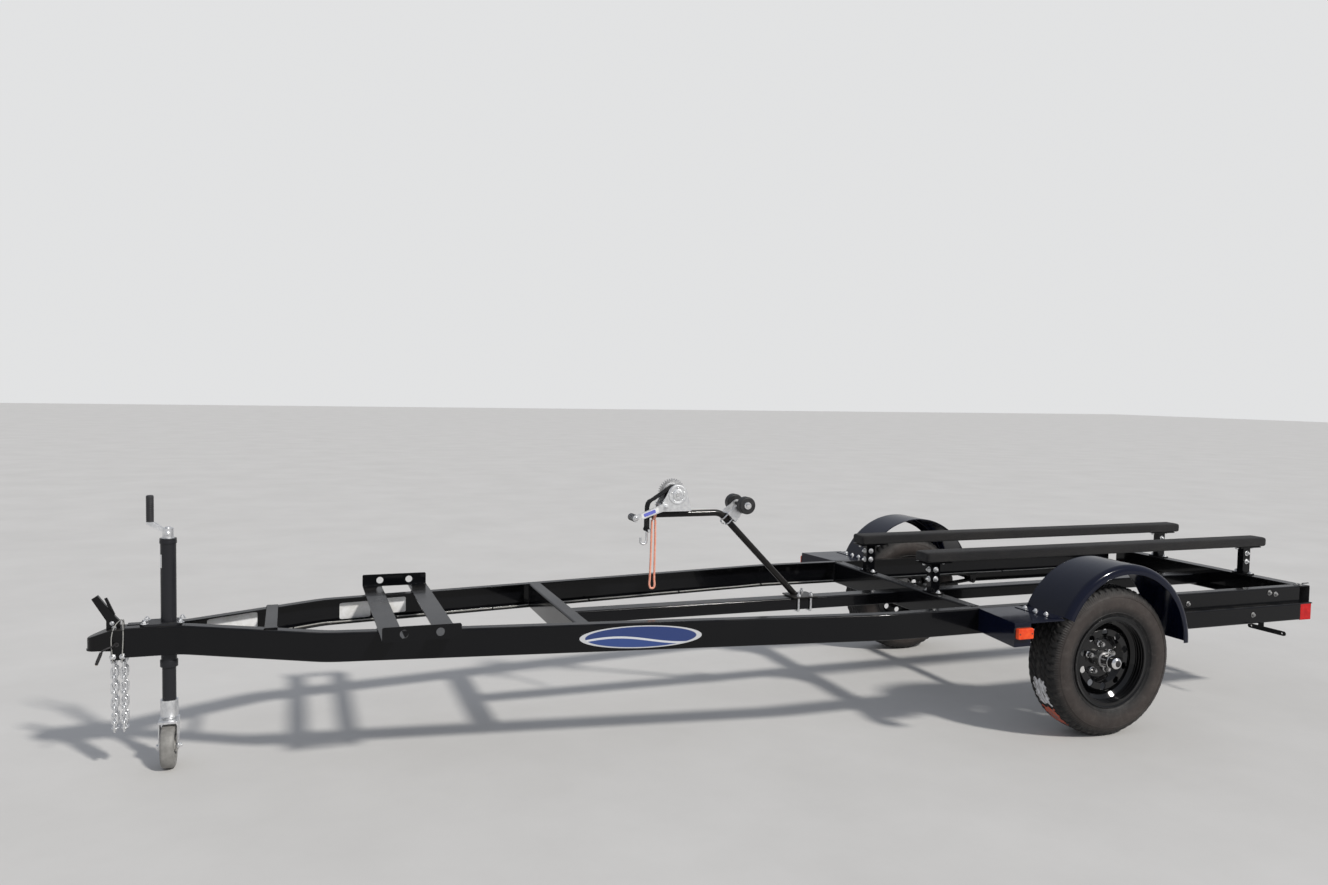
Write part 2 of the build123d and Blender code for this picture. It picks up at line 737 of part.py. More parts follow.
# Wheels, made round the world's Y axis with the outer face towards -Y, then moved out
tyre_sidewall = tyre_width / 2
for side in flip_sides:
    # Tyre: bead, bulged sidewall, shoulder and tread
    tyre_outline = [
        (bead_radius + seat_gap, 0), (bead_radius + seat_gap, rim_half_width - rim_wall - seat_gap),
        (rim_flange_radius, rim_half_width - rim_wall - seat_gap),
        (rim_flange_radius + 22, tyre_sidewall - 5), (rim_flange_radius + 52, tyre_sidewall),
        (rim_flange_radius + 84, tyre_sidewall - 6), (tyre_radius - 9, tyre_sidewall - 22),
        (tyre_radius, tyre_sidewall - 38), (tyre_radius, 0),
    ]
    with BuildPart() as tyre:
        with BuildSketch(Plane.XY.offset(axle_z)):
            with BuildLine():
                Polyline(*[(at(0) + r, y - half_track) for r, y in tyre_outline])
                mirror(about=Plane.XZ.offset(half_track))
            make_face()
        revolve(axis=Axis((at(0), 0, axle_z), (0, 1, 0)))
        if side == "right":
            mirror(about=Plane.XZ, mode=Mode.REPLACE)
    tyre.part.label = f"tyre_{side}"
    export_step(tyre.part, f"parts/tyre_{side}.step")

    # Rim: rolled barrel with a drop centre, and a dished disc with round holes
    barrel_outline = [
        (rim_flange_radius, rim_half_width), (bead_radius - rim_wall, rim_half_width),
        (bead_radius - rim_wall, 32), (well_radius - rim_wall, 20), (well_radius - rim_wall, -20),
        (bead_radius - rim_wall, -32), (bead_radius - rim_wall, -rim_half_width),
        (rim_flange_radius, -rim_half_width), (rim_flange_radius, -rim_half_width + rim_wall),
        (bead_radius, -rim_half_width + rim_wall), (bead_radius, -30), (well_radius, -18),
        (well_radius, 18), (bead_radius, 30), (bead_radius, rim_half_width - rim_wall),
        (rim_flange_radius, rim_half_width - rim_wall),
    ]
    disc_outline = [
        (hub_nose_radius + 1, 0), (78, 0), (98, disc_bulge), (120, disc_bulge),
        (well_radius - rim_wall, 8), (well_radius - rim_wall, 8 + disc_wall), (121, disc_bulge + disc_wall),
        (96, disc_bulge + disc_wall), (76, disc_wall), (hub_nose_radius + 1, disc_wall),
    ]
    with BuildPart() as rim:
        for outline in (barrel_outline, disc_outline):
            with BuildSketch(Plane.XY.offset(axle_z)):
                with BuildLine():
                    Polyline(*[(at(0) + r, -y - half_track) for r, y in outline], close=True)
                make_face()
            revolve(axis=Axis((at(0), 0, axle_z), (0, 1, 0)))
        wheel_face = Plane(origin=(at(0), -half_track, axle_z), x_dir=(1, 0, 0), z_dir=(0, -1, 0))
        with BuildSketch(wheel_face):
            with PolarLocations(wheel_hole_circle, wheel_hole_count, start_angle=18):
                Circle(wheel_hole_radius)
            with PolarLocations(lug_circle, lug_count, start_angle=90):
                Circle(stud_radius + running)
        extrude(amount=disc_bulge + 2 * disc_wall, mode=Mode.SUBTRACT)
        if side == "right":
            mirror(about=Plane.XZ, mode=Mode.REPLACE)
    rim.part.label = f"rim_{side}"
    export_step(rim.part, f"parts/rim_{side}.step")

    # Hub: flange behind the disc, nose through it, bearing cap, studs and lug nuts
    with BuildPart() as hub:
        inward = Plane(origin=(at(0), -half_track, axle_z), x_dir=(1, 0, 0), z_dir=(0, 1, 0))
        with BuildSketch(inward):
            Circle(hub_flange_radius)
        extrude(amount=hub_flange)
        with BuildSketch(inward):
            Circle(hub_radius)
        extrude(amount=hub_inner_length)
        with BuildSketch(wheel_face):
            Circle(hub_nose_radius)
        extrude(amount=hub_outer_length)
        with BuildSketch(wheel_face.offset(hub_outer_length)):
            Circle(cap_radius)
        extrude(amount=cap_length)
        fillet(hub.edges().group_by(Axis.Y)[0], radius=7)
        with BuildSketch(wheel_face):
            with PolarLocations(lug_circle, lug_count, start_angle=90):
                Circle(stud_radius)
        extrude(amount=nut_height + disc_wall + 5)
        with BuildSketch(wheel_face.offset(disc_wall)):
            with PolarLocations(lug_circle, lug_count, start_angle=90):
                RegularPolygon(nut_radius, 6)
        extrude(amount=nut_height)
        with BuildSketch(inward.offset(hub_inner_length)):
            Circle(spindle_radius + running)
        extrude(amount=-(hub_inner_length + hub_outer_length), mode=Mode.SUBTRACT)
        if side == "right":
            mirror(about=Plane.XZ, mode=Mode.REPLACE)
    hub.part.label = f"hub_{side}"
    export_step(hub.part, f"parts/hub_{side}.step")

# Fenders: a rolled skin round the wheel with an outer skirt and a foot in front
fender_arc = 180 - degrees(asin((rail_top - fender_z) / fender_radius))
for side in flip_sides:
    with BuildPart() as fender:
        outer = fender_x + fender_radius
        inner = outer - fender_wall
        with BuildSketch(Plane.XY.offset(fender_z)):
            with BuildLine():
                FilletPolyline(
                    (at(outer), -fender_inner), (at(outer), -fender_outer),
                    (at(outer - fender_skirt), -fender_outer),
                    (at(outer - fender_skirt), -fender_outer + fender_wall),
                    (at(inner), -fender_outer + fender_wall), (at(inner), -fender_inner),
                    radius=[0, fender_roll, 0, 0, fender_roll - fender_wall, 0], close=True,
                )
            make_face()
        revolve(
            axis=Axis((at(fender_x), 0, fender_z), (0, -1, 0)), revolution_arc=fender_arc,
        )
        foot_x = fender_x + fender_radius * cos(radians(fender_arc))
        with Locations((at(foot_x + 6), -(fender_inner + fender_outer - fender_roll) / 2, rail_top)):
            Box(
                fender_flange, fender_outer - fender_inner - fender_roll, fender_wall,
                align=(Align.MAX, Align.CENTER, Align.MIN),
            )
        if side == "right":
            mirror(about=Plane.XZ, mode=Mode.REPLACE)
    fender.part.label = f"fender_{side}"
    export_step(fender.part, f"parts/fender_{side}.step")

# Fender stubs: a step plate ahead of each wheel with a skirt in front and at its end
for side in flip_sides:
    stub_plan = [
        (stub_front_inner, -frame_half), (stub_front_outer, -stub_outer), (stub_rear, -stub_outer),
        (stub_rear, -frame_half),
    ]
    with BuildPart() as fender_stub:
        extrude(
            polygon(Plane.XY.offset(rail_top - stub_wall), [(at(x), y) for x, y in stub_plan]),
            amount=stub_wall,
        )
        skirt_plan = [
            (stub_front_inner, -frame_half), (stub_front_outer, -stub_outer),
            (stub_front_outer + side_lamp[0] + 4, -stub_outer),
            (stub_front_outer + side_lamp[0] + 4, -stub_outer + stub_wall),
            (stub_front_outer + stub_wall * 1.3, -stub_outer + stub_wall),
            (stub_front_inner + stub_wall * 1.03, -frame_half),
        ]
        extrude(
            polygon(Plane.XY.offset(rail_top - stub_skirt), [(at(x), y) for x, y in skirt_plan]),
            amount=stub_skirt - stub_wall,
        )
        if side == "right":
            mirror(about=Plane.XZ, mode=Mode.REPLACE)
    fender_stub.part.label = f"fender_stub_{side}"
    export_step(fender_stub.part, f"parts/fender_stub_{side}.step")

    with BuildPart() as lamp:
        with Locations((at(stub_front_outer + 2), -stub_outer, rail_top - side_lamp_drop)):
            Box(*side_lamp, align=(Align.MIN, Align.MAX, Align.MAX))
        fillet(lamp.edges().filter_by(Axis.Y), radius=6)
        fillet(lamp.edges().group_by(Axis.Y)[0], radius=3)
        if side == "right":
            mirror(about=Plane.XZ, mode=Mode.REPLACE)
    lamp.part.label = f"side_lamp_{side}"
    export_step(lamp.part, f"parts/side_lamp_{side}.step")

# Side bars bolted outside the rails behind the wheels, each with a tail lamp in its end
bar_front = fender_x + fender_radius + seat_gap
lamp_front = bar_web_rear + seat_gap
lamp_height = bar_height - bar_wall
for side in flip_sides:
    with BuildPart() as side_bar:
        plane = Plane(
            origin=(at(bar_front), -frame_half - bar_depth, bar_top - bar_height),
            x_dir=(0, 1, 0), z_dir=(1, 0, 0),
        )
        extrude(
            channel(plane, bar_height, bar_depth, bar_wall, rail_bend),
            amount=bar_flange_rear - bar_front,
        )
        with Locations((at(bar_web_rear), -frame_half, bar_top - bar_wall)):
            Box(
                bar_flange_rear, 2 * bar_depth, bar_height,
                align=(Align.MIN, Align.CENTER, Align.MAX), mode=Mode.SUBTRACT,
            )
        if side == "right":
            mirror(about=Plane.XZ, mode=Mode.REPLACE)
    side_bar.part.label = f"side_bar_{side}"
    export_step(side_bar.part, f"parts/side_bar_{side}.step")

    with BuildPart() as lamp:
        with Locations((at(lamp_front), -frame_half - seat_gap, bar_top - bar_wall)):
            Box(
                tail_lamp_length, bar_depth - seat_gap, lamp_height,
                align=(Align.MIN, Align.MAX, Align.MAX),
            )
        fillet(lamp.edges().group_by(Axis.X)[-1], radius=4)
        if side == "right":
            mirror(about=Plane.XZ, mode=Mode.REPLACE)
    lamp.part.label = f"tail_lamp_{side}"
    export_step(lamp.part, f"parts/tail_lamp_{side}.step")

# Licence plate bracket under the left side bar
bar_low = bar_top - bar_height
with BuildPart() as licence_bracket:
    with Locations((at(licence_x), -frame_half - bar_depth / 2, bar_low)):
        Box(*licence_stem, align=(Align.CENTER, Align.CENTER, Align.MAX))
    with BuildSketch(Plane.YZ.offset(at(licence_x) - licence_bar[0] / 2)):
        with Locations((-licence_inner - licence_bar[1] / 2, bar_low - licence_stem[2] - licence_bar[2] / 2)):
            SlotOverall(licence_bar[1], licence_bar[2])
            with GridLocations(licence_hole_spacing, 0, 2, 1):
                Circle(licence_hole_radius, mode=Mode.SUBTRACT)
    extrude(amount=licence_bar[0])
licence_bracket.part.label = "licence_bracket"
export_step(licence_bracket.part, "parts/licence_bracket.step")

# Bunks: carpeted planks on edge-rounded brackets from the cross-members
bunk_length = tail_reach - bunk_front
bunk_low = bunk_top - bunk_height
for side in flip_sides:
    with BuildPart() as bunk:
        with Locations((at(bunk_front), -bunk_y, bunk_low)):
            Box(bunk_length, bunk_width, bunk_height, align=(Align.MIN, Align.CENTER, Align.MIN))
        fillet(bunk.edges().filter_by(Axis.X), radius=bunk_round)
        if side == "right":
            mirror(about=Plane.XZ, mode=Mode.REPLACE)
    bunk.part.label = f"bunk_{side}"
    export_step(bunk.part, f"parts/bunk_{side}.step")

    with BuildPart() as bunk_brackets:
        for foot_x in (axle_member_x + member_flange / 2, rear_web - rear_member_flange / 2):
            with BuildSketch(Plane.XY.offset(rail_top)):
                with Locations((at(foot_x), -bunk_y)):
                    Rectangle(bracket_width, bracket_depth)
                    with Locations((bracket_wall, 0)):
                        Rectangle(bracket_width, bracket_depth - 2 * bracket_wall, mode=Mode.SUBTRACT)
            extrude(amount=bunk_low - rail_top)
            with Locations((at(foot_x), -bunk_y, bunk_low)):
                Box(
                    saddle_length, bunk_width - 20, bracket_wall,
                    align=(Align.CENTER, Align.CENTER, Align.MAX),
                )
            with Locations((at(foot_x), -bunk_y, rail_top)):
                Box(
                    bracket_width, bunk_width - 10, bracket_wall,
                    align=(Align.CENTER, Align.CENTER, Align.MIN),
                )
        if side == "right":
            mirror(about=Plane.XZ, mode=Mode.REPLACE)
    bunk_brackets.part.label = f"bunk_brackets_{side}"
    export_step(bunk_brackets.part, f"parts/bunk_brackets_{side}.step")

# Winch post: a bent tube on a pad over the centre beam
pad_top = beam_top + pad_size[2]
ubolt_y = beam_width / 2 + seat_gap + ubolt_radius
with BuildPart() as winch_post:
    with BuildLine() as route:
        slope_x = post_bend_x - post_foot
        slope_z = arm_z - pad_top
        sunk = post_radius * 2
        FilletPolyline(
            (at(post_foot - slope_x * sunk / slope_z), 0, pad_top - sunk),
            (at(post_bend_x), 0, arm_z), (at(arm_front), 0, arm_z),
            radius=post_bend_radius,
        )
    with BuildSketch(Plane(origin=route.line @ 0, z_dir=route.line % 0)):
        Circle(post_radius)
    sweep(path=route.line)
    split(bisect_by=Plane(origin=(0, 0, beam_top), z_dir=(0, 0, 1)), keep=Keep.TOP)
    with Locations((at(pad_x), 0, beam_top)):
        Box(*pad_size, align=(Align.CENTER, Align.CENTER, Align.MIN))
    with Locations((at(pad_x), 0, pad_top)):
        with GridLocations(ubolt_spacing, 2 * ubolt_y, 2, 2):
            Hole(ubolt_radius + running, depth=pad_size[2] + 1)
winch_post.part.label = "winch_post"
export_step(winch_post.part, "parts/winch_post.step")

# U-bolts that clamp the post's pad to the beam, with a nut on each leg
ubolt_low = beam_top - beam_height - seat_gap - ubolt_radius
with BuildPart() as post_u_bolts:
    for bolt_x in (pad_x - ubolt_spacing / 2, pad_x + ubolt_spacing / 2):
        with BuildLine() as route:
            FilletPolyline(
                (at(bolt_x), -ubolt_y, pad_top + 18), (at(bolt_x), -ubolt_y, ubolt_low),
                (at(bolt_x), ubolt_y, ubolt_low), (at(bolt_x), ubolt_y, pad_top + 18),
                radius=ubolt_radius * 1.6,
            )
        with BuildSketch(Plane(origin=route.line @ 0, z_dir=route.line % 0)):
            Circle(ubolt_radius)
        sweep(path=route.line)
        with BuildSketch(Plane.XY.offset(pad_top)):
            with Locations((at(bolt_x), -ubolt_y), (at(bolt_x), ubolt_y)):
                RegularPolygon(ubolt_radius * 1.9, 6)
        extrude(amount=9)
post_u_bolts.part.label = "post_u_bolts"
export_step(post_u_bolts.part, "parts/post_u_bolts.step")

# Winch frame: a base on the arm and two side plates that hold the shafts
base_top = arm_z + post_radius + winch_base[2]
winch_z = arm_z + post_radius + winch_axis_height
gear_radius = gear_teeth * gear_module / 2
pinion_radius = pinion_teeth * gear_module / 2
shaft_distance = gear_radius + pinion_radius + 0.6
pinion_x = winch_x + shaft_distance * cos(radians(pinion_angle))
pinion_z = winch_z + shaft_distance * sin(radians(pinion_angle))
with BuildPart() as winch_frame:
    with Locations((at(winch_x), 0, arm_z + post_radius)):
        Box(*winch_base, align=(Align.CENTER, Align.CENTER, Align.MIN))
    for plate_y in (-winch_inner - winch_plate, winch_inner):
        with BuildSketch(Plane.XZ.offset(-plate_y)) as plate:
            with Locations((at(winch_x), winch_z)):
                Circle(winch_plate_radius)
            with Locations((at(pinion_x), pinion_z)):
                Circle(16)
            with Locations((at(winch_x), arm_z + post_radius)):
                Rectangle(winch_base[0], winch_base[2], align=(Align.CENTER, Align.MIN))
            make_hull()
            with Locations((at(winch_x), winch_z), (at(pinion_x), pinion_z)):
                Circle(drum_shaft_radius + running, mode=Mode.SUBTRACT)
        extrude(amount=-winch_plate)
winch_frame.part.label = "winch_frame"
export_step(winch_frame.part, "parts/winch_frame.step")


def toothed(teeth, module, turn):
    """A spur gear's outline: one trapezium tooth a pitch on a root circle, turned by some degrees."""
    pitch = teeth * module / 2
    root, tip = pitch - 1.2 * module, pitch + 0.9 * module
    step = 360 / teeth
    points = []
    for number in range(teeth):
        for radius, part in ((root, -0.32), (tip, -0.13), (tip, 0.13), (root, 0.32)):
            angle = radians((number + part) * step + turn)
            points.append((radius * cos(angle), radius * sin(angle)))
    return points


# Winch drum: shaft, core and the big gear; drawn with the gear on the left, then turned to the right
gear_y = -winch_inner - winch_plate - seat_gap
with BuildPart() as winch_drum:
    drum_plane = Plane(origin=(at(winch_x), gear_y, winch_z), x_dir=(1, 0, 0), z_dir=(0, -1, 0))
    extrude(polygon(drum_plane, toothed(gear_teeth, gear_module, pinion_angle)), amount=gear_width)
    with BuildSketch(drum_plane.offset(gear_width)):
        Circle(16)
    extrude(amount=4)
    with Locations((at(winch_x), 0, winch_z)):
        Cylinder(drum_radius, 2 * (winch_inner - seat_gap), rotation=(90, 0, 0))
        Cylinder(drum_shaft_radius, 2 * (winch_inner + winch_plate + 8), rotation=(90, 0, 0))
    mirror(about=Plane.XZ, mode=Mode.REPLACE)
winch_drum.part.label = "winch_drum"
export_step(winch_drum.part, "parts/winch_drum.step")

# Winch crank: pinion and shaft through the plates, a flat arm on the left and a grip set inwards
crank_y = winch_inner + winch_plate + 4
crank_x = pinion_x + winch_crank_length * cos(radians(winch_crank_angle))
crank_z = pinion_z + winch_crank_length * sin(radians(winch_crank_angle))
with BuildPart() as winch_crank:
    pinion_plane = Plane(origin=(at(pinion_x), gear_y, pinion_z), x_dir=(1, 0, 0), z_dir=(0, -1, 0))
    mesh = pinion_angle + 180 + 180 / pinion_teeth
    extrude(polygon(pinion_plane, toothed(pinion_teeth, gear_module, mesh)), amount=gear_width)
    with BuildSketch(pinion_plane.offset(gear_width)):
        Circle(drum_shaft_radius)
    extrude(amount=-(gear_width + winch_inner + winch_plate + crank_y + 6 + seat_gap))
    with BuildSketch(Plane.XZ.offset(-crank_y)):
        with Locations((at(pinion_x), pinion_z)):
            Circle(15)
        with Locations((at(crank_x), crank_z)):
            Circle(12)
        make_hull()
    extrude(amount=-5)
    with Locations((at(crank_x), crank_y, crank_z)):
        Cylinder(
            winch_grip_radius, winch_grip_length, rotation=(90, 0, 0),
            align=(Align.CENTER, Align.CENTER, Align.MIN),
        )
    mirror(about=Plane.XZ, mode=Mode.REPLACE)
winch_crank.part.label = "winch_crank"
export_step(winch_crank.part, "parts/winch_crank.step")

# Webbing: a roll on the drum and a tail over the arm's front end, with the hook on it
roll_radius = drum_radius + strap_roll
tail_x = arm_front - 14.0
tail_low = arm_z - 58.0
with BuildPart() as winch_strap:
    with Locations((at(winch_x), 0, winch_z)):
        Cylinder(roll_radius, webbing_width, rotation=(90, 0, 0))
        Cylinder(drum_radius + seat_gap, webbing_width, rotation=(90, 0, 0), mode=Mode.SUBTRACT)
    leave = radians(122)
    start_x = winch_x + (roll_radius - webbing_wall) * cos(leave)
    start_z = winch_z + (roll_radius - webbing_wall) * sin(leave)
    tail = [
        (start_x, start_z), (tail_x + 26, arm_z + 62), (tail_x, arm_z + 34), (tail_x, tail_low),
        (tail_x + webbing_wall, tail_low), (tail_x + webbing_wall, arm_z + 33),
        (tail_x + 27, arm_z + 59.5), (start_x + 1.5, start_z - webbing_wall),
    ]
    extrude(polygon(Plane.XZ, [(at(x), z) for x, z in tail]), amount=webbing_width / 2, both=True)
winch_strap.part.label = "winch_strap"
export_step(winch_strap.part, "parts/winch_strap.step")

hook_bar = 9.0
with BuildPart() as winch_hook:
    with Locations((at(tail_x + webbing_wall / 2), 0, tail_low)):
        Box(hook_bar, webbing_width + 8, hook_bar, align=(Align.CENTER, Align.CENTER, Align.MAX))
    with BuildLine() as route:
        shank_x = at(tail_x + webbing_wall / 2)
        FilletPolyline(
            (shank_x, 0, tail_low - hook_bar / 2), (shank_x, 0, tail_low - 62),
            (shank_x - 26, 0, tail_low - 62), (shank_x - 26, 0, tail_low - 36),
            radius=12.5,
        )
    with BuildSketch(Plane(origin=route.line @ 0, z_dir=route.line % 0)):
        Circle(5)
    sweep(path=route.line)
winch_hook.part.label = "winch_hook"
export_step(winch_hook.part, "parts/winch_hook.step")

# Bow roller bracket, square to the post just below its bend
slope = sqrt(slope_x**2 + slope_z**2)
along = (slope_x / slope, slope_z / slope)
square = (along[1], -along[0])
clamp_x = post_bend_x - along[0] * roller_below_bend
clamp_z = arm_z - along[1] * roller_below_bend
ear_low = roller_half - roller_width - moving_gap - ear_wall
ear_plane = Plane(
    origin=(at(clamp_x), 0, clamp_z), x_dir=(square[0], 0, square[1]), z_dir=(0, -1, 0)
)
with BuildPart() as roller_bracket:
    with BuildSketch(ear_plane):
        with Locations((post_radius, -2)):
            Rectangle(ear_wall, 52, align=(Align.MIN, Align.CENTER))
    extrude(amount=ear_low + ear_wall, both=True)
    for turn in (-1, 1):
        with BuildSketch(ear_plane.offset(ear_low if turn > 0 else -ear_low - ear_wall)):
            with Locations((roller_height, 0)):
                Circle(15)
            with Locations((post_radius, -2)):
                Rectangle(ear_wall, 52, align=(Align.MIN, Align.CENTER))
            make_hull()
            with Locations((roller_height, 0)):
                Circle(roller_pin_radius + running, mode=Mode.SUBTRACT)
        extrude(amount=ear_wall)
roller_bracket.part.label = "roller_bracket"
export_step(roller_bracket.part, "parts/roller_bracket.step")

# Bow roller: two wheels outside the ears, on one pin that turns in them
roller_x = clamp_x + square[0] * roller_height
roller_z = clamp_z + square[1] * roller_height
with BuildPart() as bow_roller:
    with Locations((at(roller_x), 0, roller_z)):
        for turn in (-1, 1):
            with Locations((0, turn * (roller_half - roller_width / 2), 0)):
                Cylinder(roller_radius, roller_width, rotation=(90, 0, 0))
    fillet(bow_roller.edges().filter_by(GeomType.CIRCLE), radius=roller_round)
    with Locations((at(roller_x), 0, roller_z)):
        Cylinder(roller_pin_radius, 2 * (roller_half + 7), rotation=(90, 0, 0))
bow_roller.part.label = "bow_roller"
export_step(bow_roller.part, "parts/bow_roller.step")


def cord_tube(route, radius):
    """A cord as straight runs joined by arcs as large as the runs allow, and its arcs' radii."""
    points = [Vector(at(x), y, z) for x, y, z in route]
    bends = []
    for before, corner, after in zip(points, points[1:], points[2:]):
        run_in, run_out = corner - before, after - corner
        half_turn = radians(run_in.get_angle(run_out)) / 2
        bends.append(0.45 * min(run_in.length, run_out.length) / tan(half_turn))
    with BuildPart() as tube:
        with BuildLine() as path:
            FilletPolyline(*points, radius=bends)
        with BuildSketch(Plane(origin=path.line @ 0, z_dir=path.line % 0)):
            Circle(radius)
        sweep(path=path.line)
    length = sum(edge.length for edge in path.edges())
    print("bend radii", [round(bend, 1) for bend in bends], "length", round(length, 1))
    print("volume over section times length", round(tube.part.volume / (pi * radius**2 * length), 4))
    return tube


# Wiring lead from the coupler's side to its flat plug
wiring_lead = cord_tube(lead_route, lead_radius)
wiring_lead.part.label = "wiring_lead"
export_step(wiring_lead.part, "parts/wiring_lead.step")

lead_end = Vector(*lead_route[-1]) - Vector(*lead_route[-2])
with BuildPart() as wiring_plug:
    plug_x, plug_y, plug_z = lead_route[-1]
    with BuildSketch(Plane(origin=(at(plug_x), plug_y, plug_z), x_dir=(0, 1, 0.32), z_dir=lead_end)):
        RectangleRounded(plug_size[0], plug_size[1], 3)
    extrude(amount=plug_size[2])
wiring_plug.part.label = "wiring_plug"
export_step(wiring_plug.part, "parts/wiring_plug.step")

with BuildPart() as wiring_grommet:
    gland_x, _, gland_z = lead_route[0]
    with Locations((at(gland_x), -channel_half, gland_z)):
        Cylinder(
            grommet_radius, grommet_wall, rotation=(90, 0, 0), align=(Align.CENTER, Align.CENTER, Align.MIN)
        )
        Cylinder(lead_radius + 4 * seat_gap, 4 * grommet_wall, rotation=(90, 0, 0), mode=Mode.SUBTRACT)
wiring_grommet.part.label = "wiring_grommet"
export_step(wiring_grommet.part, "parts/wiring_grommet.step")

# Tie rope: turns round the arm's end and the loop that hangs from them
turns_width = 2 * rope_radius * rope_turns
with BuildPart() as tie_rope_turns:
    with Locations((at(rope_x), 0, arm_z)):
        Cylinder(post_radius + seat_gap + 2 * rope_radius, turns_width, rotation=(0, 90, 0))
        Cylinder(post_radius + seat_gap, turns_width, rotation=(0, 90, 0), mode=Mode.SUBTRACT)
tie_rope_turns.part.label = "tie_rope_turns"
export_step(tie_rope_turns.part, "parts/tie_rope_turns.step")

tie_rope_loop = cord_tube([(rope_x + x, y, z) for x, y, z in rope_route], rope_radius)
tie_rope_loop.part.label = "tie_rope_loop"
export_step(tie_rope_loop.part, "parts/tie_rope_loop.step")
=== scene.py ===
import bpy
import bmesh
import numpy as np
from mathutils import Matrix


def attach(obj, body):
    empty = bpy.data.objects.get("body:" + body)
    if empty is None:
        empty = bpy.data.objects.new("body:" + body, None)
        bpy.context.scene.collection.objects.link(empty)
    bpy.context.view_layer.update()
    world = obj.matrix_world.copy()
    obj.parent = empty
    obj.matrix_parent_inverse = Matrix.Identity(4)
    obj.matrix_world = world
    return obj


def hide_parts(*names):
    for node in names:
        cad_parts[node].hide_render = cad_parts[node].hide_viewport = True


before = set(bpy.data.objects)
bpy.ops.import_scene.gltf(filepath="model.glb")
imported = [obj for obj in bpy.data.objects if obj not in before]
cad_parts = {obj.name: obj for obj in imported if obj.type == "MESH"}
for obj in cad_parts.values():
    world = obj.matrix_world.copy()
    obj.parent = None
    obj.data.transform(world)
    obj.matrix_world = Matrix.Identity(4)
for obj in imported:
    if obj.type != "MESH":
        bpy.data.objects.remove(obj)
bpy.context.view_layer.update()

# Camera, floor and light. The trailer stands on a plain pale floor under soft light,
# seen from its left front as in the photograph. Places are in millimetres, x from the axle.
axle_x, wheel_z, half_track, jack_x = 1148.5, 300, 706, -3436
focal_pixels, photo_width = 1013.8, 1328
x_way, y_way, z_way = np.eye(3)


def metres(points):
    """Points in millimetres, x from the axle, as metres in the part's own frame."""
    return (np.asarray(points, float) + (axle_x, 0, 0)) / 1000


def unit(vectors):
    """Vectors at unit length."""
    return np.asarray(vectors, float) / np.linalg.norm(vectors, axis=-1, keepdims=True)


def angles(number):
    """Angles evenly round a circle."""
    return np.linspace(0, 2 * np.pi, number, endpoint=False)


def stacked(*parts):
    """Values or grids, spread to one shape, side by side along a last axis."""
    return np.stack(np.broadcast_arrays(*parts), -1)


def circle(x, z, radius, turn, y=0):
    """Points on an upright circle round x and z, turned up from x."""
    return stacked(x + radius * np.cos(turn), y, z + radius * np.sin(turn))


def add(name, data):
    """A new object in the scene."""
    made = bpy.data.objects.new(name, data)
    bpy.context.scene.collection.objects.link(made)
    return made


yaw, pitch, roll = np.radians((20.218, 2.985, 1.002))
look = np.array((np.sin(yaw) * np.cos(pitch), np.cos(yaw) * np.cos(pitch), -np.sin(pitch)))
level = np.array((np.cos(yaw), -np.sin(yaw), 0.0))
lift = np.cross(level, look)
right = np.cos(roll) * level + np.sin(roll) * lift
upward = np.cos(roll) * lift - np.sin(roll) * level
camera = add("camera", bpy.data.cameras.new("camera"))
camera.data.sensor_width = 36.0
camera.data.lens = 36.0 * focal_pixels / photo_width
camera.data.clip_end = 300.0
turned = Matrix(stacked(right, upward, -look).tolist()).to_4x4()
camera.matrix_world = Matrix.Translation(metres((-3035.2, -3867.0, 1341.5)).tolist()) @ turned
bpy.context.scene.camera = camera
bpy.context.scene.view_settings.view_transform = "Standard"


def node(tree, kind, inputs=None, **settings):
    """A shader node with its settings, and a value or another node's output for each socket given."""
    made = tree.nodes.new("ShaderNode" + kind)
    for key, value in settings.items():
        setattr(made, key, value)
    for key, value in (inputs or {}).items():
        if isinstance(value, bpy.types.NodeSocket):
            tree.links.new(value, made.inputs[key])
        else:
            made.inputs[key].default_value = value
    return made


def noise(tree, scale, detail=4.0, stretch=(1, 1, 1)):
    """Noise on the piece's own place, scale in repeats a metre, squeezed along the axes by stretch."""
    place = node(tree, "TexCoord").outputs["Object"]
    if stretch != (1, 1, 1):
        place = node(tree, "Mapping", {"Vector": place, "Scale": stretch}).outputs[0]
    return node(
        tree, "TexNoise", {"Vector": place, "Scale": scale, "Detail": detail, "Roughness": 0.62}
    ).outputs[0]


def axes(tree, kind="Object"):
    """The three parts of a texture coordinate."""
    return node(tree, "SeparateXYZ", {0: node(tree, "TexCoord").outputs[kind]}).outputs


def spread(tree, value, low, high, first=0.0, last=1.0):
    """value from low to high brought to first to last, and held at both ends."""
    return node(tree, "MapRange", {0: value, 1: low, 2: high, 3: first, 4: last}).outputs[0]


def maths(tree, operation, a, b):
    """a and b put together by one operation."""
    return node(tree, "Math", {0: a, 1: b}, operation=operation).outputs[0]


def times(tree, a, b):
    """a times b."""
    return maths(tree, "MULTIPLY", a, b)


def distance(tree, a, b):
    """The length of the vector with the parts a and b."""
    squares = (times(tree, value, value) for value in (a, b))
    return maths(tree, "SQRT", maths(tree, "ADD", *squares), 0)


def clouds(tree, scale, detail, low, high, first=0.0, last=1.0):
    """Noise from low to high brought to first to last."""
    return spread(tree, noise(tree, scale, detail), low, high, first, last)


def mixed(tree, factor, a, b):
    """Colour a where factor is 0, colour b where it is 1."""
    a, b = ((*c, 1) if isinstance(c, tuple) else c for c in (a, b))
    return node(tree, "Mix", {0: factor, 6: a, 7: b}, data_type="RGBA").outputs[2]


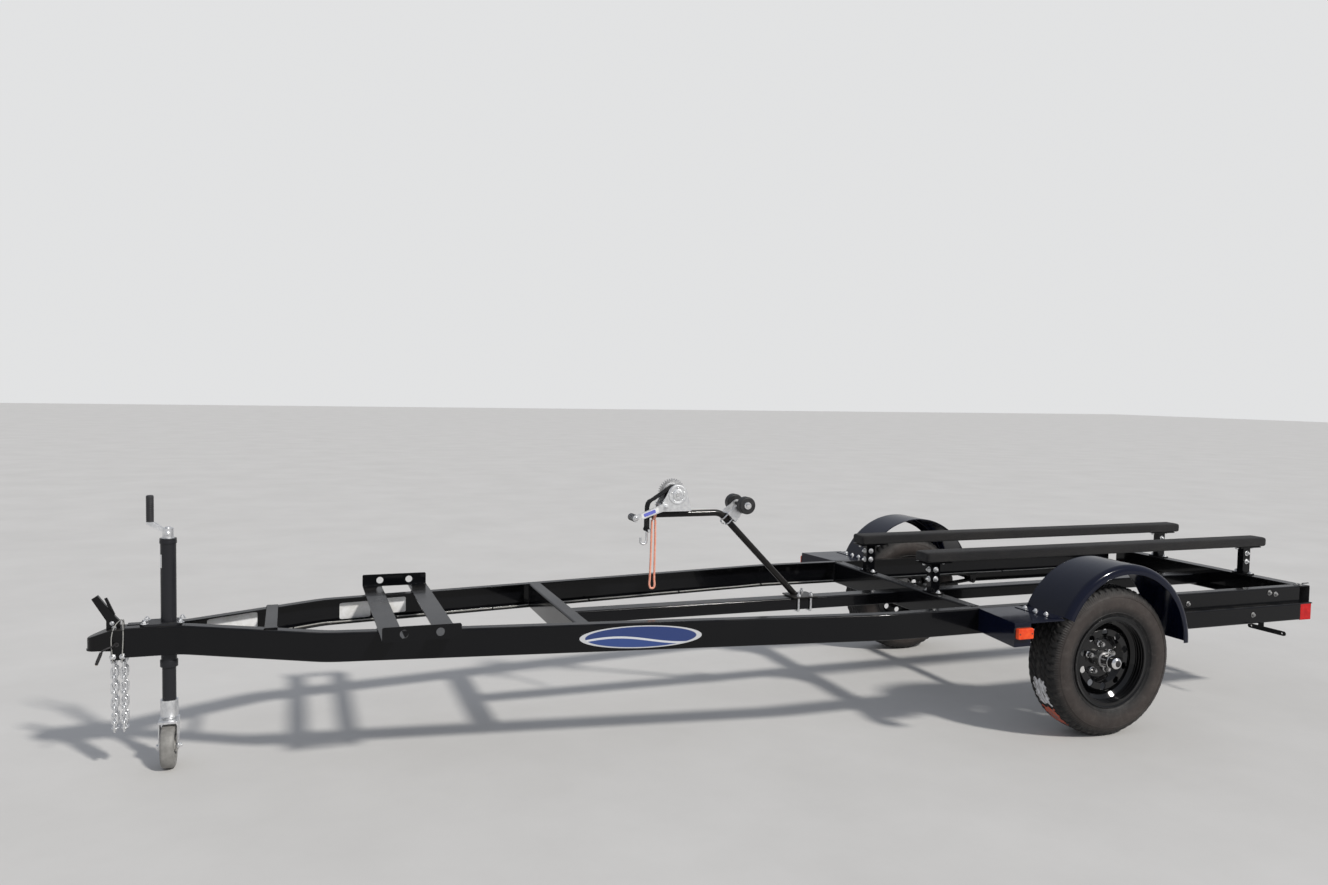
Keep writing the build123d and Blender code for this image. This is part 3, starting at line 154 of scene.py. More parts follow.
def finish(name, **sockets):
    """A new material, its node tree and its shader with plain values on its own sockets."""
    made = bpy.data.materials.new(name)
    made.use_nodes = True
    shader = made.node_tree.nodes["Principled BSDF"]
    for key, value in sockets.items():
        shader.inputs[key.replace("_", " ")].default_value = value
    return made, made.node_tree, shader


def paint(tree, shader, factor, a, b, rough=None):
    """Gives a shader a colour from a to b by factor and, where one is made, its roughness."""
    tree.links.new(mixed(tree, factor, a, b), shader.inputs["Base Color"])
    if rough:
        tree.links.new(rough, shader.inputs["Roughness"])


def bump(tree, shader, height, depth, strength=1.0, edge=0.0):
    """Relief from a height of 0 to 1, depth metres deep, with edges softened over edge metres."""
    relief = node(tree, "Bump", {"Height": height, "Distance": depth, "Strength": strength})
    if edge:
        soft = node(tree, "Bevel", {"Radius": edge}, samples=3)
        tree.links.new(soft.outputs[0], relief.inputs["Normal"])
    tree.links.new(relief.outputs[0], shader.inputs["Normal"])


def surface(name, colours, patch, relief=(), rough=(), **sockets):
    """A material clouded between two colours. patch and rough are what clouds takes, and relief is what
    noise and then bump take."""
    made, tree, shader = finish(name, **sockets)
    paint(tree, shader, clouds(tree, *patch), *colours, clouds(tree, *rough) if rough else None)
    if relief:
        bump(tree, shader, noise(tree, *relief[:2]), *relief[2:])
    return made


floor_paint = surface(
    "pale floor", ((0.58, 0.57, 0.555), (0.63, 0.62, 0.605)), (1.4, 6, 0.3, 0.7),
    Roughness=0.8, Specular_IOR_Level=0.2,
)
ground = bpy.data.meshes.new("floor")
ground.from_pydata([(-60, -60, 0), (60, -60, 0), (60, 60, 0), (-60, 60, 0)], [], [(0, 1, 2, 3)])
ground.materials.append(floor_paint)
floor = add("floor", ground)

world = bpy.data.worlds.new("soft light")
bpy.context.scene.world = world
world.use_nodes = True
sky = world.node_tree
for old in list(sky.nodes):
    sky.nodes.remove(old)
height = axes(sky, "Generated")[2]
tone = mixed(sky, spread(sky, height, -0.05, 0.5), (0.78, 0.775, 0.77), (0.66, 0.70, 0.78))
seen = node(sky, "LightPath")
glow = node(sky, "Background", {"Color": tone, "Strength": 0.6})
plain = node(sky, "Background", {"Color": (0.76, 0.765, 0.77, 1), "Strength": 1.0})
both = node(
    sky, "MixShader", {0: seen.outputs["Is Camera Ray"], 1: glow.outputs[0], 2: plain.outputs[0]}
)
node(sky, "OutputWorld", {0: both.outputs[0]})

# A soft key light from behind the camera's right shoulder
key = bpy.data.lights.new("key", "SUN")
key.energy = 2.7
key.angle = np.radians(5)
key.color = (1.0, 0.97, 0.92)
lamp = add("key", key)
towards = np.array((0.582, -1.011, 1.0))
sideways = np.cross(z_way, towards)
basis = unit((sideways, np.cross(towards, sideways), towards))
lamp.matrix_world = Matrix(basis.T.tolist()).to_4x4()


# Main rails, cross-members, centre beam and strap: folded and rolled steel channel and flat bar,
# welded together and sprayed as one in gloss black enamel.
def enamel(name, colour, rough=0.13, dust=0.12, peel=1.0, gloss=1.0):
    """Sprayed enamel: orange peel under a clear gloss, thin dust on what faces up, dull wiped streaks."""
    made, tree, shader = finish(
        name, Coat_Weight=0.24 * gloss, Coat_Roughness=0.05, Specular_IOR_Level=0.12 * gloss
    )
    up = node(tree, "SeparateXYZ", {0: node(tree, "NewGeometry").outputs["Normal"]}).outputs[2]
    patch = spread(tree, noise(tree, 9, 8, (1, 2.2, 1)), 0.38, 0.72)
    lying = times(tree, spread(tree, up, 0.35, 0.95, 0.02, 1.0), patch)
    grime = times(tree, lying, dust)
    dull = spread(tree, noise(tree, 3.2, 5, (0.6, 1, 3)), 0.35, 0.7, rough, rough + 0.14)
    dull = maths(tree, "ADD", dull, times(tree, grime, 0.5))
    paint(tree, shader, grime, colour, (0.23, 0.215, 0.19), dull)
    bump(tree, shader, noise(tree, 210, 2), 0.0002, 0.35 * peel, edge=0.0016)
    return made


def dress(names, material):
    """Gives CAD nodes their material."""
    for name in names:
        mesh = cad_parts[name].data
        for number in range(len(mesh.materials)):
            mesh.materials[number] = material


def pair(name):
    """A node's left and right names."""
    return [name + "_left", name + "_right"]


black = enamel("gloss black enamel", (0.0030, 0.0032, 0.0042))
dress([
    *pair("rail"), "crossmember_front", "crossmember_axle", "crossmember_rear", "centre_beam",
    "cross_strap", "tray_bar_front", "tray_bar_rear", *pair("tray_plate"), *pair("side_bar"),
    "licence_bracket", *pair("bunk_brackets"),
], black)


def quads(rows, columns, ring=True, loop=False):
    """Faces of a grid; ring joins its last column to its first, loop its last row to its first."""
    r = np.arange(rows if loop else rows - 1)[:, None]
    c = np.arange(columns if ring else columns - 1)[None, :]
    near, far = r * columns, (r + 1) % rows * columns
    after = (c + 1) % columns
    return stacked(near + c, near + after, far + after, far + c).reshape(-1, 4)


def piece(name, parts, material, body="frame", uv=None, replaces=()):
    """One mesh of several (points in millimetres, faces), doubles merged, faces outward, on a body."""
    parts = [parts] if isinstance(parts, tuple) else parts
    start = np.cumsum([0] + [len(points) for points, _ in parts])
    points = np.concatenate([np.asarray(points, float).reshape(-1, 3) for points, _ in parts])
    faces = [(np.asarray(f) + s).tolist() for s, (_, some) in zip(start, parts) for f in some]
    mesh = bpy.data.meshes.new(name)
    mesh.from_pydata(metres(points).tolist(), [], faces)
    if uv is not None:
        layer = mesh.uv_layers.new(name="UVMap")
        corner = np.empty(len(mesh.loops), np.int32)
        mesh.loops.foreach_get("vertex_index", corner)
        layer.data.foreach_set("uv", np.asarray(uv, float)[corner].ravel())
    work = bmesh.new()
    work.from_mesh(mesh)
    bmesh.ops.remove_doubles(work, verts=work.verts, dist=2e-6)
    bmesh.ops.dissolve_degenerate(work, edges=work.edges, dist=1e-6)
    bmesh.ops.recalc_face_normals(work, faces=work.faces)
    work.to_mesh(mesh)
    work.free()
    mesh.materials.append(material)
    mesh.shade_smooth()
    mesh.set_sharp_from_angle(angle=np.radians(38))
    made = add(name, mesh)
    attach(made, body)
    if replaces:
        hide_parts(*replaces)
    return made


def capped(points):
    """A tube's points, given by ring and side, with its faces and both its ends closed."""
    rows, sides = points.shape[:2]
    ends = [np.arange(sides)[::-1], np.arange(sides) + (rows - 1) * sides]
    return points.reshape(-1, 3), [*quads(rows, sides), *ends]


def tube(path, radius, sides=12, guide=(0.11, 1.0, 0.07)):
    """A tube's points and faces: circles square to the path, of one radius or one a point and side. They
    start at right angles to guide."""
    path = np.asarray(path, float)
    along = unit(np.gradient(path, axis=0))
    first = unit(np.cross(along, guide))
    turn = angles(sides)[None, :, None]
    ring = first[:, None] * np.cos(turn) + np.cross(along, first)[:, None] * np.sin(turn)
    reach = np.broadcast_to(np.asarray(radius, float), (len(path), sides))
    return capped(path[:, None] + ring * reach[..., None])


def turned_basis(axis):
    """Three unit columns, the last along axis."""
    axis = unit(axis)
    side = unit(np.cross(z_way if abs(axis[2]) < 0.9 else x_way, axis))
    return stacked(side, np.cross(axis, side), axis)


def lathe(outline, place=(0, 0, 0), axis=z_way, sides=32):
    """A form of revolution: outline's (radius, distance along the axis) pairs turned round it."""
    outline = np.asarray(outline, float)
    turn = angles(sides)
    out, along = outline[:, :1], outline[:, 1:]
    local = stacked(out * np.cos(turn), out * np.sin(turn), along).reshape(-1, 3)
    return local @ turned_basis(axis).T + place, quads(len(outline), sides)


def bolt(across=6.5, stud=3.0, washer=True):
    """A hex head or nut with a chamfered top on its washer, its thread's end standing out of it."""
    s = across
    parts = [lathe([(0, 1.5), (s, 1.5), (s, 0.8 * s), (0.88 * s, s), (0, s)], sides=6)]
    if washer:
        parts.append(lathe([(0, 0), (1.45 * s, 0), (1.45 * s, 1.3), (1.38 * s, 1.6), (0, 1.6)], sides=20))
    if stud:
        end = s + stud
        thread = [(0, s), (0.55 * s, s), (0.55 * s, end - 1), (0.42 * s, end), (0, end)]
        parts.append(lathe(thread, sides=12))
    return parts


def stamp(parts, places, axis=z_way):
    """Copies of parts made round the origin along z, one at each place, turned to axis."""
    basis = turned_basis(axis).T
    return [
        (points @ basis + np.asarray(place, float), faces) for place in places for points, faces in parts
    ]


def web_half(x):
    """Half width over the rails' webs at a place along the trailer."""
    return np.interp(x, (-3567, -3400, -2926, -888, 1271), (50, 50, 301, 577, 577))


def zinc_plate(name, pale, dark, rough=0.3, grain=1.0):
    """Zinc plating: a bright metal clouded in patches, with fine spangle and dull spots."""
    return surface(
        name, (pale, dark), (60, 7, 0.35, 0.7), (700, 3, 0.00012, 0.5 * grain, 0.0007),
        (110, 5, 0.3, 0.72, rough, rough + 0.25), Metallic=1.0,
    )


zinc = zinc_plate("bright zinc", (0.90, 0.905, 0.91), (0.66, 0.67, 0.69))
dull_zinc = zinc_plate("dull zinc", (0.46, 0.46, 0.46), (0.27, 0.265, 0.26), 0.38, 2.0)
chrome = surface(
    "chrome", ((0.83, 0.83, 0.84), (0.5, 0.47, 0.42)), (300, 5, 0.5, 0.8),
    rough=(90, 4, 0.3, 0.8, 0.06, 0.22), Metallic=1.0,
)


def bead(ends, leg=5.0, step=2.2):
    """A weld bead along a line: a thin tube swelling and narrowing in overlapping ripples."""
    ends = np.asarray(ends, float)
    length = np.linalg.norm(ends[1] - ends[0])
    run = np.linspace(0, length, max(int(length / step) * 2, 6))
    path = ends[0] + (ends[1] - ends[0]) * (run / length)[:, None]
    ripple = 0.14 * np.abs(np.sin(np.pi * run / (2.4 * step))) + 0.05 * np.sin(run * 0.31)
    return tube(path, leg * 0.5 * (0.86 + ripple)[:, None], 8)


rail_top, rail_low = 500.0, 398.4
# Seams of one side: start, end and leg
on_top, member_y = rail_top + 1.5, 535
strap_edge, member_end = web_half(-3102) - 14, web_half(-2079) - 42
seams = [((x, strap_edge - 28, on_top), (x, strap_edge, on_top), 5) for x in (-3122, -3082)]
for x in (-2758, -2683, -2575, -2500):
    seams.append(((x, web_half(x) - 42, on_top), (x, web_half(x) - 5, on_top), 5))
for x in (-500, 1335):
    seams.append(((x, member_y, rail_low + 6), (x, member_y, rail_top - 6), 6))
    seams.append(((x + 4, member_y, rail_top + 0.5), (x + 44, member_y, rail_top + 0.5), 5))
seams.append(((-2079, member_end, rail_low + 6), (-2079, member_end, rail_top - 6), 6))
for x in (-2721, -2537):
    seams.append(((x - 36, 483, rail_top + 5.5), (x + 36, 483, rail_top + 5.5), 6))
beads = [
    bead(np.array((start, end)) * (1, side, 1), leg) for side in (-1, 1) for start, end, leg in seams
]
piece("weld_beads", beads, black)


# Stickers: thin vinyl labels, their corners rounded. The rails carry an oval badge and blank
# white labels, the jack's tube one more; none has any words.
def plaque(centre, across, up, half, thick=0.35, power=2.0, sides=96):
    """A thin plate with a superellipse's outline, and the u and v of its points from 0 to 1."""
    across, up = unit((across, up))
    turn = angles(sides)
    edge = stacked(np.cos(turn), np.sin(turn))
    edge = np.sign(edge) * np.abs(edge) ** (2 / power)
    rings = np.array(((0, -0.15), (1, -0.15), (1, 0.7), (0.988, 1), (0.6, 1), (0, 1)))
    flat = (edge[None] * rings[:, :1, None]).reshape(-1, 2)
    high = np.repeat(rings[:, 1], sides)[:, None] * thick
    wide, tall = flat[:, :1] * half[0] * across, flat[:, 1:] * half[1] * up
    return (centre + wide + tall + high * np.cross(across, up), quads(len(rings), sides)), flat / 2 + 0.5


badge, tree, shader = finish("oval badge vinyl", Coat_Weight=0.4, Roughness=0.3)
u, v = axes(tree, "UV")[:2]
du, dv = (maths(tree, "SUBTRACT", axis, 0.5) for axis in (u, v))
swell = times(tree, maths(tree, "SINE", times(tree, u, 5.5), 0), 0.16)
wave = maths(tree, "SUBTRACT", v, swell)
field = mixed(tree, spread(tree, wave, 0.39, 0.40), (0.62, 0.64, 0.68), (0.012, 0.035, 0.16))
field = mixed(tree, spread(tree, wave, 0.30, 0.31), (0.02, 0.055, 0.22), field)
border = spread(tree, distance(tree, du, dv), 0.452, 0.458)
paint(tree, shader, border, field, (0.55, 0.56, 0.58))
bump(tree, shader, noise(tree, 120, 3), 0.0002, 0.4)
nose_lean, long_lean = (301 - 50) / (3400 - 2926), (577 - 301) / (2926 - 888)
badge_x = -1849.5
hands = (("left", -1), ("right", 1))
for name, side in hands:
    made, uv = plaque(
        (badge_x, side * (web_half(badge_x) + 0.1), 449), (-side, -long_lean, 0), z_way, (225, 41)
    )
    piece(f"oval_badge_{name}", made, badge, uv=uv)

label = surface(
    "blank label", ((0.80, 0.805, 0.81), (0.58, 0.57, 0.54)), (25, 7, 0.45, 0.8), (45, 4, 0.0004, 0.5),
    Roughness=0.45,
)
labels = []
for x, low, high, half in ((-3238, 410, 486, 94), (-2797, 410, 474, 60), (-2640, 418, 480, 43)):
    lean = nose_lean if x < -2926 else long_lean
    labels.append(plaque(
        (x, web_half(x) - 4.8 / np.cos(np.arctan(lean)), (low + high) / 2), (1, lean, 0), z_way,
        (half, (high - low) / 2), 0.3, 14,
    )[0])
piece("blank_labels", labels, label)


def slab(top, low):
    """A closed sheet between two grids of points of the same shape."""
    rows, columns = top.shape[:2]
    flat = quads(rows, columns, ring=False)
    number = np.arange(rows * columns).reshape(rows, columns)
    rim = np.concatenate((number[0], number[1:, -1], number[-1, -2::-1], number[-2:0:-1, 0]))
    after = np.roll(rim, -1)
    around = stacked(rim, after, after + number.size, rim + number.size)
    points = np.concatenate((top.reshape(-1, 3), low.reshape(-1, 3)))
    return points, [*flat, *(flat[:, ::-1] + number.size), *around]


def curved(centre, radii, turns, widths, axis=y_way):
    """A closed patch on a cylinder: two radii, and its angles and places along the axis as grids."""
    low, top = (
        stacked(r * np.cos(turns), r * np.sin(turns), widths) @ turned_basis(axis).T + centre
        for r in radii
    )
    return slab(top, low)


turns, widths = np.meshgrid(np.linspace(-1.9, -0.86, 14), (697.0, 743.0), indexing="ij")
piece("jack_label", curved((jack_x, 0, 0), (25.3, 25.75), turns, widths, z_way), label)

# Wiring along the right rail: a grey jacketed cable clipped to the channel's lower flange,
# from the tongue to the tail lamps, where it goes out through the web.
jacket = surface(
    "grey cable jacket", ((0.26, 0.26, 0.25), (0.40, 0.39, 0.36)), (70, 6, 0.4, 0.75),
    (500, 3, 0.0003, 0.5), Roughness=0.5,
)
flange, cable_in = 403.2, 31
straight = np.linspace(-3340, 1180, 240)
sway = cable_in + 4 * np.sin(straight / 61) * np.sin(straight / 190)
along = np.concatenate((straight, (1195, 1210, 1222, 1230, 1234, 1236, 1237)))
inset = np.concatenate((sway, (29, 25, 19, 12, 4, -6, -16)))
climb = np.concatenate((np.full(240, 3.4), (4, 6, 9, 12, 15, 17, 18)))
path = stacked(along, web_half(along) - inset, flange + climb)
clips = []
arch = np.linspace(0, np.pi, 9)
for x in (-3030, -2640, -2240, -1800, -1350, -900, -420, 60, 520, 980):
    y = web_half(x) - cable_in
    hoop = stacked(x, y + 7.5 * np.cos(arch), flange - 0.6 + 8.2 * np.sin(arch))
    clips += [tube(hoop + (step, 0, 0), 1.6, 8, guide=x_way) for step in (0, 3)]
    clips += stamp(bolt(3.6, 0, False), [(x + 1.5, y - 13, flange)])
piece("rail_cable", tube(path, 3.0, 10, guide=z_way), jacket)
piece("cable_clips", clips, black)

# Coupler and latch: pressed steel under scuffed enamel, with zinc nuts on the bars that carry the
# chains and two stiff grey wires arched over it between the nuts.
scuffed = enamel("scuffed black enamel", (0.004, 0.004, 0.0045), 0.2, 0.25, 1.6)
dress(["coupler", "coupler_latch"], scuffed)
chain_bars, bar_z = (-3604, -3574), 404
nuts, arches = [], []
for x in chain_bars:
    for side in (-1, 1):
        nuts += stamp(bolt(7, 3), [(x, side * 45.2, bar_z)], (0, side, 0))
turn = np.linspace(-0.12, np.pi + 0.12, 60)
out, up = np.cos(turn), np.sin(turn)
for foot, head, reach in zip(chain_bars, (-3588, -3578), (-8, 4)):
    arches.append(tube(stacked(
        foot + (head - foot) * np.clip(up, 0, 1) ** 2 + reach * np.sin(2 * turn),
        -np.sign(out) * 53 * np.abs(out) ** 0.55, bar_z + 2 + 112 * np.sign(up) * np.abs(up) ** 0.8,
    ), 1.8, 10, guide=(1, 0.01, 0)))
for side in (-1, 1):
    nuts += stamp(bolt(5, 2), [(-3610, side * 9, 512), (-3604, side * 9, 496)], (0, side, 0))
piece("coupler_nuts", nuts, zinc)
piece("coupler_wires", arches, jacket)


# Safety chains: zinc plated welded links of round rod, doubled down from each bar.
def link(centre, across, along, seam):
    """A link of 7 mm rod: a stadium 10.5 mm half straight and 8 mm half wide, thicker at its weld."""
    turn = angles(28)
    c, s = 8 * np.cos(turn), 8 * np.sin(turn) + 10.5 * np.tanh(6 * np.sin(turn))
    path = centre + c[:, None] * across + s[:, None] * along
    square = np.cross(across, along)
    side = unit(np.cross(np.roll(path, -1, 0) - np.roll(path, 1, 0), square))
    thick = 3.45 + 0.35 * np.exp(-((np.cos(turn) - seam) * 9) ** 2 - (s / 3.5) ** 2)
    spin = angles(10)
    ring = side[:, None] * np.cos(spin)[None, :, None] + square * np.sin(spin)[None, :, None]
    return (path[:, None] + ring * thick[:, None, None]).reshape(-1, 3), quads(28, 10, loop=True)


# A link's rod radius, its hole's half width and half length, and the play between two links
rod, hole, reach, play = 3.5, 4.5, 15, 0.3
seat = hole - np.sqrt(hole**2 - rod**2)
lean = (2 * rod + seat) / 2
low_seat = hole - np.sqrt(hole**2 - lean**2)
pitch_z, spread_y = 2 * reach - 2 * seat - play, reach - seat + lean
chain = []
first_z = bar_z + 4 + play - reach
lowest = first_z - 9 * pitch_z - reach + low_seat + 3.8
for bar in chain_bars:
    for side in (-1, 1):
        for number in range(10):
            place = (bar, side * spread_y, first_z - number * pitch_z)
            chain.append(link(place, (x_way, y_way)[number % 2], z_way, -1))
    chain.append(link((bar, 0, lowest), x_way, y_way, 1))
piece("chain_links", chain, zinc, replaces=["safety_chains"])


# Wiring lead: a short black rubber lead from a grommet in the coupler's side, hanging to a
# flat moulded plug with four brass contacts.
def rubber(name, colour, rough=0.55, grain=900, chalk=1.6):
    """Moulded rubber: a fine grain and faint chalky patches."""
    pale = tuple(c * chalk + 0.012 for c in colour)
    return surface(
        name, (colour, pale), (30, 6, 0.42, 0.75), (grain, 3, 0.0003, 0.5),
        (60, 5, 0.3, 0.7, rough - 0.1, rough + 0.15), Specular_IOR_Level=0.4,
    )


def route_curve(name, points, radius, material):
    """One smooth NURBS spline of order 3 with the route's points as its control points."""
    data = bpy.data.curves.new(name, "CURVE")
    data.dimensions = "3D"
    data.resolution_u = 10
    spline = data.splines.new("NURBS")
    spline.points.add(len(points) - 1)
    spline.points.foreach_set("co", np.column_stack((metres(points), np.ones(len(points)))).ravel())
    spline.order_u = 3
    spline.use_endpoint_u = True
    data.bevel_depth = radius
    data.bevel_resolution = 5
    data.use_fill_caps = True
    data.materials.append(material)
    return add(name, data)


black_rubber = rubber("black rubber", (0.018, 0.017, 0.018))
lead_route = [
    (-3592, -46.2, 446), (-3600, -74, 447), (-3616, -84, 443), (-3630, -82, 436), (-3635, -78, 424),
]
lead = route_curve("lead", lead_route, 0.003, black_rubber)
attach(lead, "frame")
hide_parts("wiring_lead")
dress(["wiring_grommet", "wiring_plug"], black_rubber)
heading = unit(np.subtract(lead_route[-1], lead_route[-2]))
wide = np.array((0, 1, 0.32))
wide = unit(wide - heading * np.dot(wide, heading))
sockets = [
    part for step in (-8, -2.7, 2.7, 8) for part in stamp(
        [lathe([(0, 0), (1.9, 0), (1.9, 5.4), (1.1, 6), (1.1, 3), (0, 3)], sides=16)],
        [np.array(lead_route[-1]) + heading * 34.5 + wide * step], heading,
    )
]
brass = zinc_plate("brass", (0.80, 0.58, 0.28), (0.45, 0.33, 0.18))
contacts = piece("plug_contacts", sockets, brass)
sleeve = lathe([(3.1, -4), (4.6, -3), (5.4, 4), (5.0, 6), (3.1, 6)], sides=20)
sleeve = stamp([sleeve], [lead_route[-1]], heading)
boot = piece("plug_boot", sleeve, black_rubber)

# Tongue jack: a charcoal painted tube bolted through its plate, zinc crank with a ribbed plastic
# grip on top, sliding leg, and a zinc socket and fork with a grey moulded wheel.
charcoal = enamel("charcoal jack paint", (0.018, 0.0185, 0.022), 0.3, 0.2, 1.5)
dress(["jack_tube", "jack_leg"], charcoal)
dress(["jack_crank", "caster_socket", "caster_fork"], zinc)
grip_plastic = rubber("black grip plastic", (0.022, 0.022, 0.024), 0.42, 400)
ribs = [(0, 0), (12.1, 0), (12.4, 1.5)]
for low in 4 + 7.2 * np.arange(11):
    ribs += [(12.4, low), (11.8, low + 1), (11.8, low + 2), (12.4, low + 3)]
ribs += [(12.4, 86), (11.6, 90), (8.5, 92.2), (0, 92.6)]
piece("jack_grip", lathe(ribs, (-3492, 0, 856), sides=40), grip_plastic)
hardware = stamp(bolt(8.5, 4), [(x, y, 508) for x in (-3508, -3396) for y in (-32, 32)])
hardware += stamp(bolt(6, 3), [(jack_x, -18, 815.5)], (0, -1, 0))
hardware += [
    lathe([(0, 0), (20.5, 0), (20.5, 2), (19.5, 3), (0, 3)], (jack_x, 0, 798)),
    lathe([(0, 0), (10, 0), (9, 4), (0, 5)], (jack_x, 0, 833)),
]
piece("jack_hardware", hardware, zinc)
piece("jack_collar", [
    lathe([(25.2, 0), (27.4, 0), (27.9, 2), (27.9, 9), (27.2, 10.6), (25.2, 10.6)], (jack_x, 0, 780)),
    lathe([(25.2, 0), (28.4, 0), (28.9, 1.5), (28.9, 22), (28.2, 23.5), (25.2, 23.5)], (jack_x, 0, 349)),
], charcoal)
caster = (jack_x, -30, 76)
fork_nuts = stamp(bolt(8, 4), [(jack_x + 31.5, *caster[1:])], x_way)
fork_nuts += stamp(bolt(8, 0), [(jack_x - 31.5, *caster[1:])], (-1, 0, 0))
fork_nuts.append(lathe([(8.2, 0), (24, 0), (25, 1), (23, 3), (8.2, 3.4)], (jack_x, 0, 167)))
piece("fork_nuts", fork_nuts, zinc, "caster_fork")
grey_wheel = rubber("grey moulded wheel", (0.20, 0.195, 0.185), 0.5, 260, 1.5)
half = [
    (6.1, 22.5), (17, 22.5), (18.5, 21), (19.5, 14), (24, 13), (50, 13), (55, 14), (57.5, 20), (60, 21.6),
    (67, 22.5), (71.5, 20.5), (74.5, 16), (75.6, 9),
]
outline = [(r, -out) for r, out in half] + [(76, 0)] + half[::-1] + [(6.1, -22.5)]
points, faces = lathe(outline, caster, x_way, 120)
points = points.reshape(len(outline), 120, 3)
spoke = np.abs((np.arange(120) % 15) - 7) < 2
for row, (radius, out) in enumerate(outline):
    if 22 < radius < 56 and abs(out) < 15:
        points[row, spoke, 0] += np.sign(out) * 5.5
piece(
    "caster_tyre", (points.reshape(-1, 3), faces), grey_wheel, "caster_wheel",
    replaces=["caster_wheel"],
)

# Axle and springs: a painted tube under springs of three leaves, clamped by U-bolts and tie plates.
under = enamel("dusty black enamel", (0.006, 0.006, 0.0065), 0.3, 0.4, 1.5)
dress(["axle", *pair("spring"), *pair("spring_hanger")], under)
clamps, clamp_nuts = [], []
spring_y, bolt_x = 556, 30.9
bend = np.linspace(np.pi, 2 * np.pi, 24)
bow = circle(0, wheel_z, bolt_x, bend)[:, ::2]
around = np.concatenate(([(-bolt_x, 372), (-bolt_x, 330)], bow, [(bolt_x, 330), (bolt_x, 372)]))
for side in (-1, 1):
    for y in (spring_y - 28, spring_y + 28):
        clamps.append(tube(np.insert(around, 1, side * y, axis=1), 5, 12, guide=y_way))
        clamp_nuts += stamp(bolt(8.5, 3), [(x, side * y, 359.4) for x in (-bolt_x, bolt_x)])
    clamps.append(plaque((0, side * spring_y, 353.4), x_way, y_way, (44, 40), 6, 9)[0])
    for x in (-170, 170):
        low = 331.4 + x * x / 5400
        turns = ((-24, 22), (-24, -2), (24, -2), (24, 22))
        turns = [(x, side * spring_y + y, low + z) for y, z in turns]
        strip = [np.linspace(a, b, 5)[:-1] for a, b in zip(turns, turns[1:])]
        clamps.append(tube(np.concatenate(strip + [turns[-1:]]), 3, 8, guide=x_way))
piece("spring_clamps", clamps, under)
piece("spring_nuts", clamp_nuts, dull_zinc)


# Tyres: radial tyres with five ribs, grooves all round, slanted sipes, notched shoulders and rings
# moulded on their sidewalls. Scraps of a paper label are left on the left one's tread.
tyre_radius = 300


def tyre_skin(side):
    """r and y from the wheel's middle over turn and profile: grooves 6.5 mm deep at |y| 14 and 36, sipes
    every 6 degrees slanting with y, serrations by cos(180 turn) on the sidewall's top, rings at 196 and
    261, finely ribbed arcs between them."""
    around, half = 540, [
        (166, 68), (182.3, 68.2), (184, 70.8), (188, 71.4), (190, 73), (194, 75.6), (195, 77.6), (197, 78.8),
        (198.5, 77.9), (205, 80.6), (212, 83.0), (220, 84.8), (223, 85.2), (225, 85.5), (234, 85.9),
        (242, 85.5), (250, 84.4), (252, 83.9), (256, 82.8), (259, 81.9), (260, 83.2), (262.5, 82.2),
        (263.5, 80.6), (266, 79.6), (273, 76.6), (280, 72.4), (284, 69.3), (288, 65.9), (291.5, 62),
        (294.5, 57.5),
    ]
    tread = [54, 50, 46, 42.5, 40.5, 39.5, 36, 32.5, 31.5, 28, 24, 21, 18.5, 17.5, 14, 10.5, 9.5, 6, 3]
    half += [(tyre_radius - 3.12 * (w / 54) ** 4, w) for w in tread]
    profile = np.array(half + [(tyre_radius, 0)] + [(r, -w) for r, w in half[::-1]])
    turn = angles(around)[:, None]
    r, y = (profile[:, i][None] * np.ones_like(turn) for i in (0, 1))
    wide = np.abs(y)
    groove = np.clip(1.6 - np.minimum(np.abs(wide - 14), np.abs(wide - 36)) / 2.4, 0, 1)
    step = turn * 60 / (2 * np.pi)
    phase = (step + y / 26 + np.where(wide < 12, 0.5, 0.0)) % 1
    sipe = np.exp(-(((phase - 0.5) * 9.5) ** 2)) * (wide < 58) * (wide > 4)
    notch = np.exp(-(((step % 1 - 0.5) * 6) ** 2)) * (wide > 49) * (wide < 69) * (r > 283)
    r = r - 6.5 * groove - 4.2 * sipe * (1 - groove) - 5.0 * notch
    ridge = (r > 265) & (r < 290) & (wide > 60)
    arcs = (np.cos(2 * turn + 0.9) > 0.25) & (r > 224) & (r < 251) & (wide > 60)
    y = y + np.sign(y) * (1.0 * np.cos(180 * turn) * ridge + (0.5 + 0.45 * np.cos(180 * turn)) * arcs)
    points = circle(0, wheel_z, r, turn, side * half_track + y)
    return points.reshape(-1, 3), quads(around, len(profile), loop=True)


tread_rubber, tree, shader = finish("tyre rubber", Specular_IOR_Level=0.35)
x, _, z = axes(tree)
ahead = maths(tree, "SUBTRACT", x, axle_x / 1000)
above = maths(tree, "SUBTRACT", z, wheel_z / 1000)
reach = distance(tree, ahead, above)
bloom = times(tree, spread(tree, reach, 0.284, 0.258), spread(tree, reach, 0.192, 0.226))
bloom = times(tree, bloom, clouds(tree, 9, 7, 0.25, 0.7, 0.45, 1.0))
tone = mixed(tree, bloom, (0.008, 0.008, 0.0085), (0.050, 0.040, 0.036))
paint(
    tree, shader, clouds(tree, 40, 6, 0.5, 0.8, 0, 0.4), tone, (0.095, 0.085, 0.078),
    clouds(tree, 50, 5, 0.3, 0.7, 0.48, 0.7),
)
bump(tree, shader, noise(tree, 800, 3), 0.0003, 0.5)
for name, side in hands:
    piece(
        f"tyre_skin_{name}", tyre_skin(side), tread_rubber, f"wheel_{name}",
        replaces=[f"tyre_{name}"],
    )

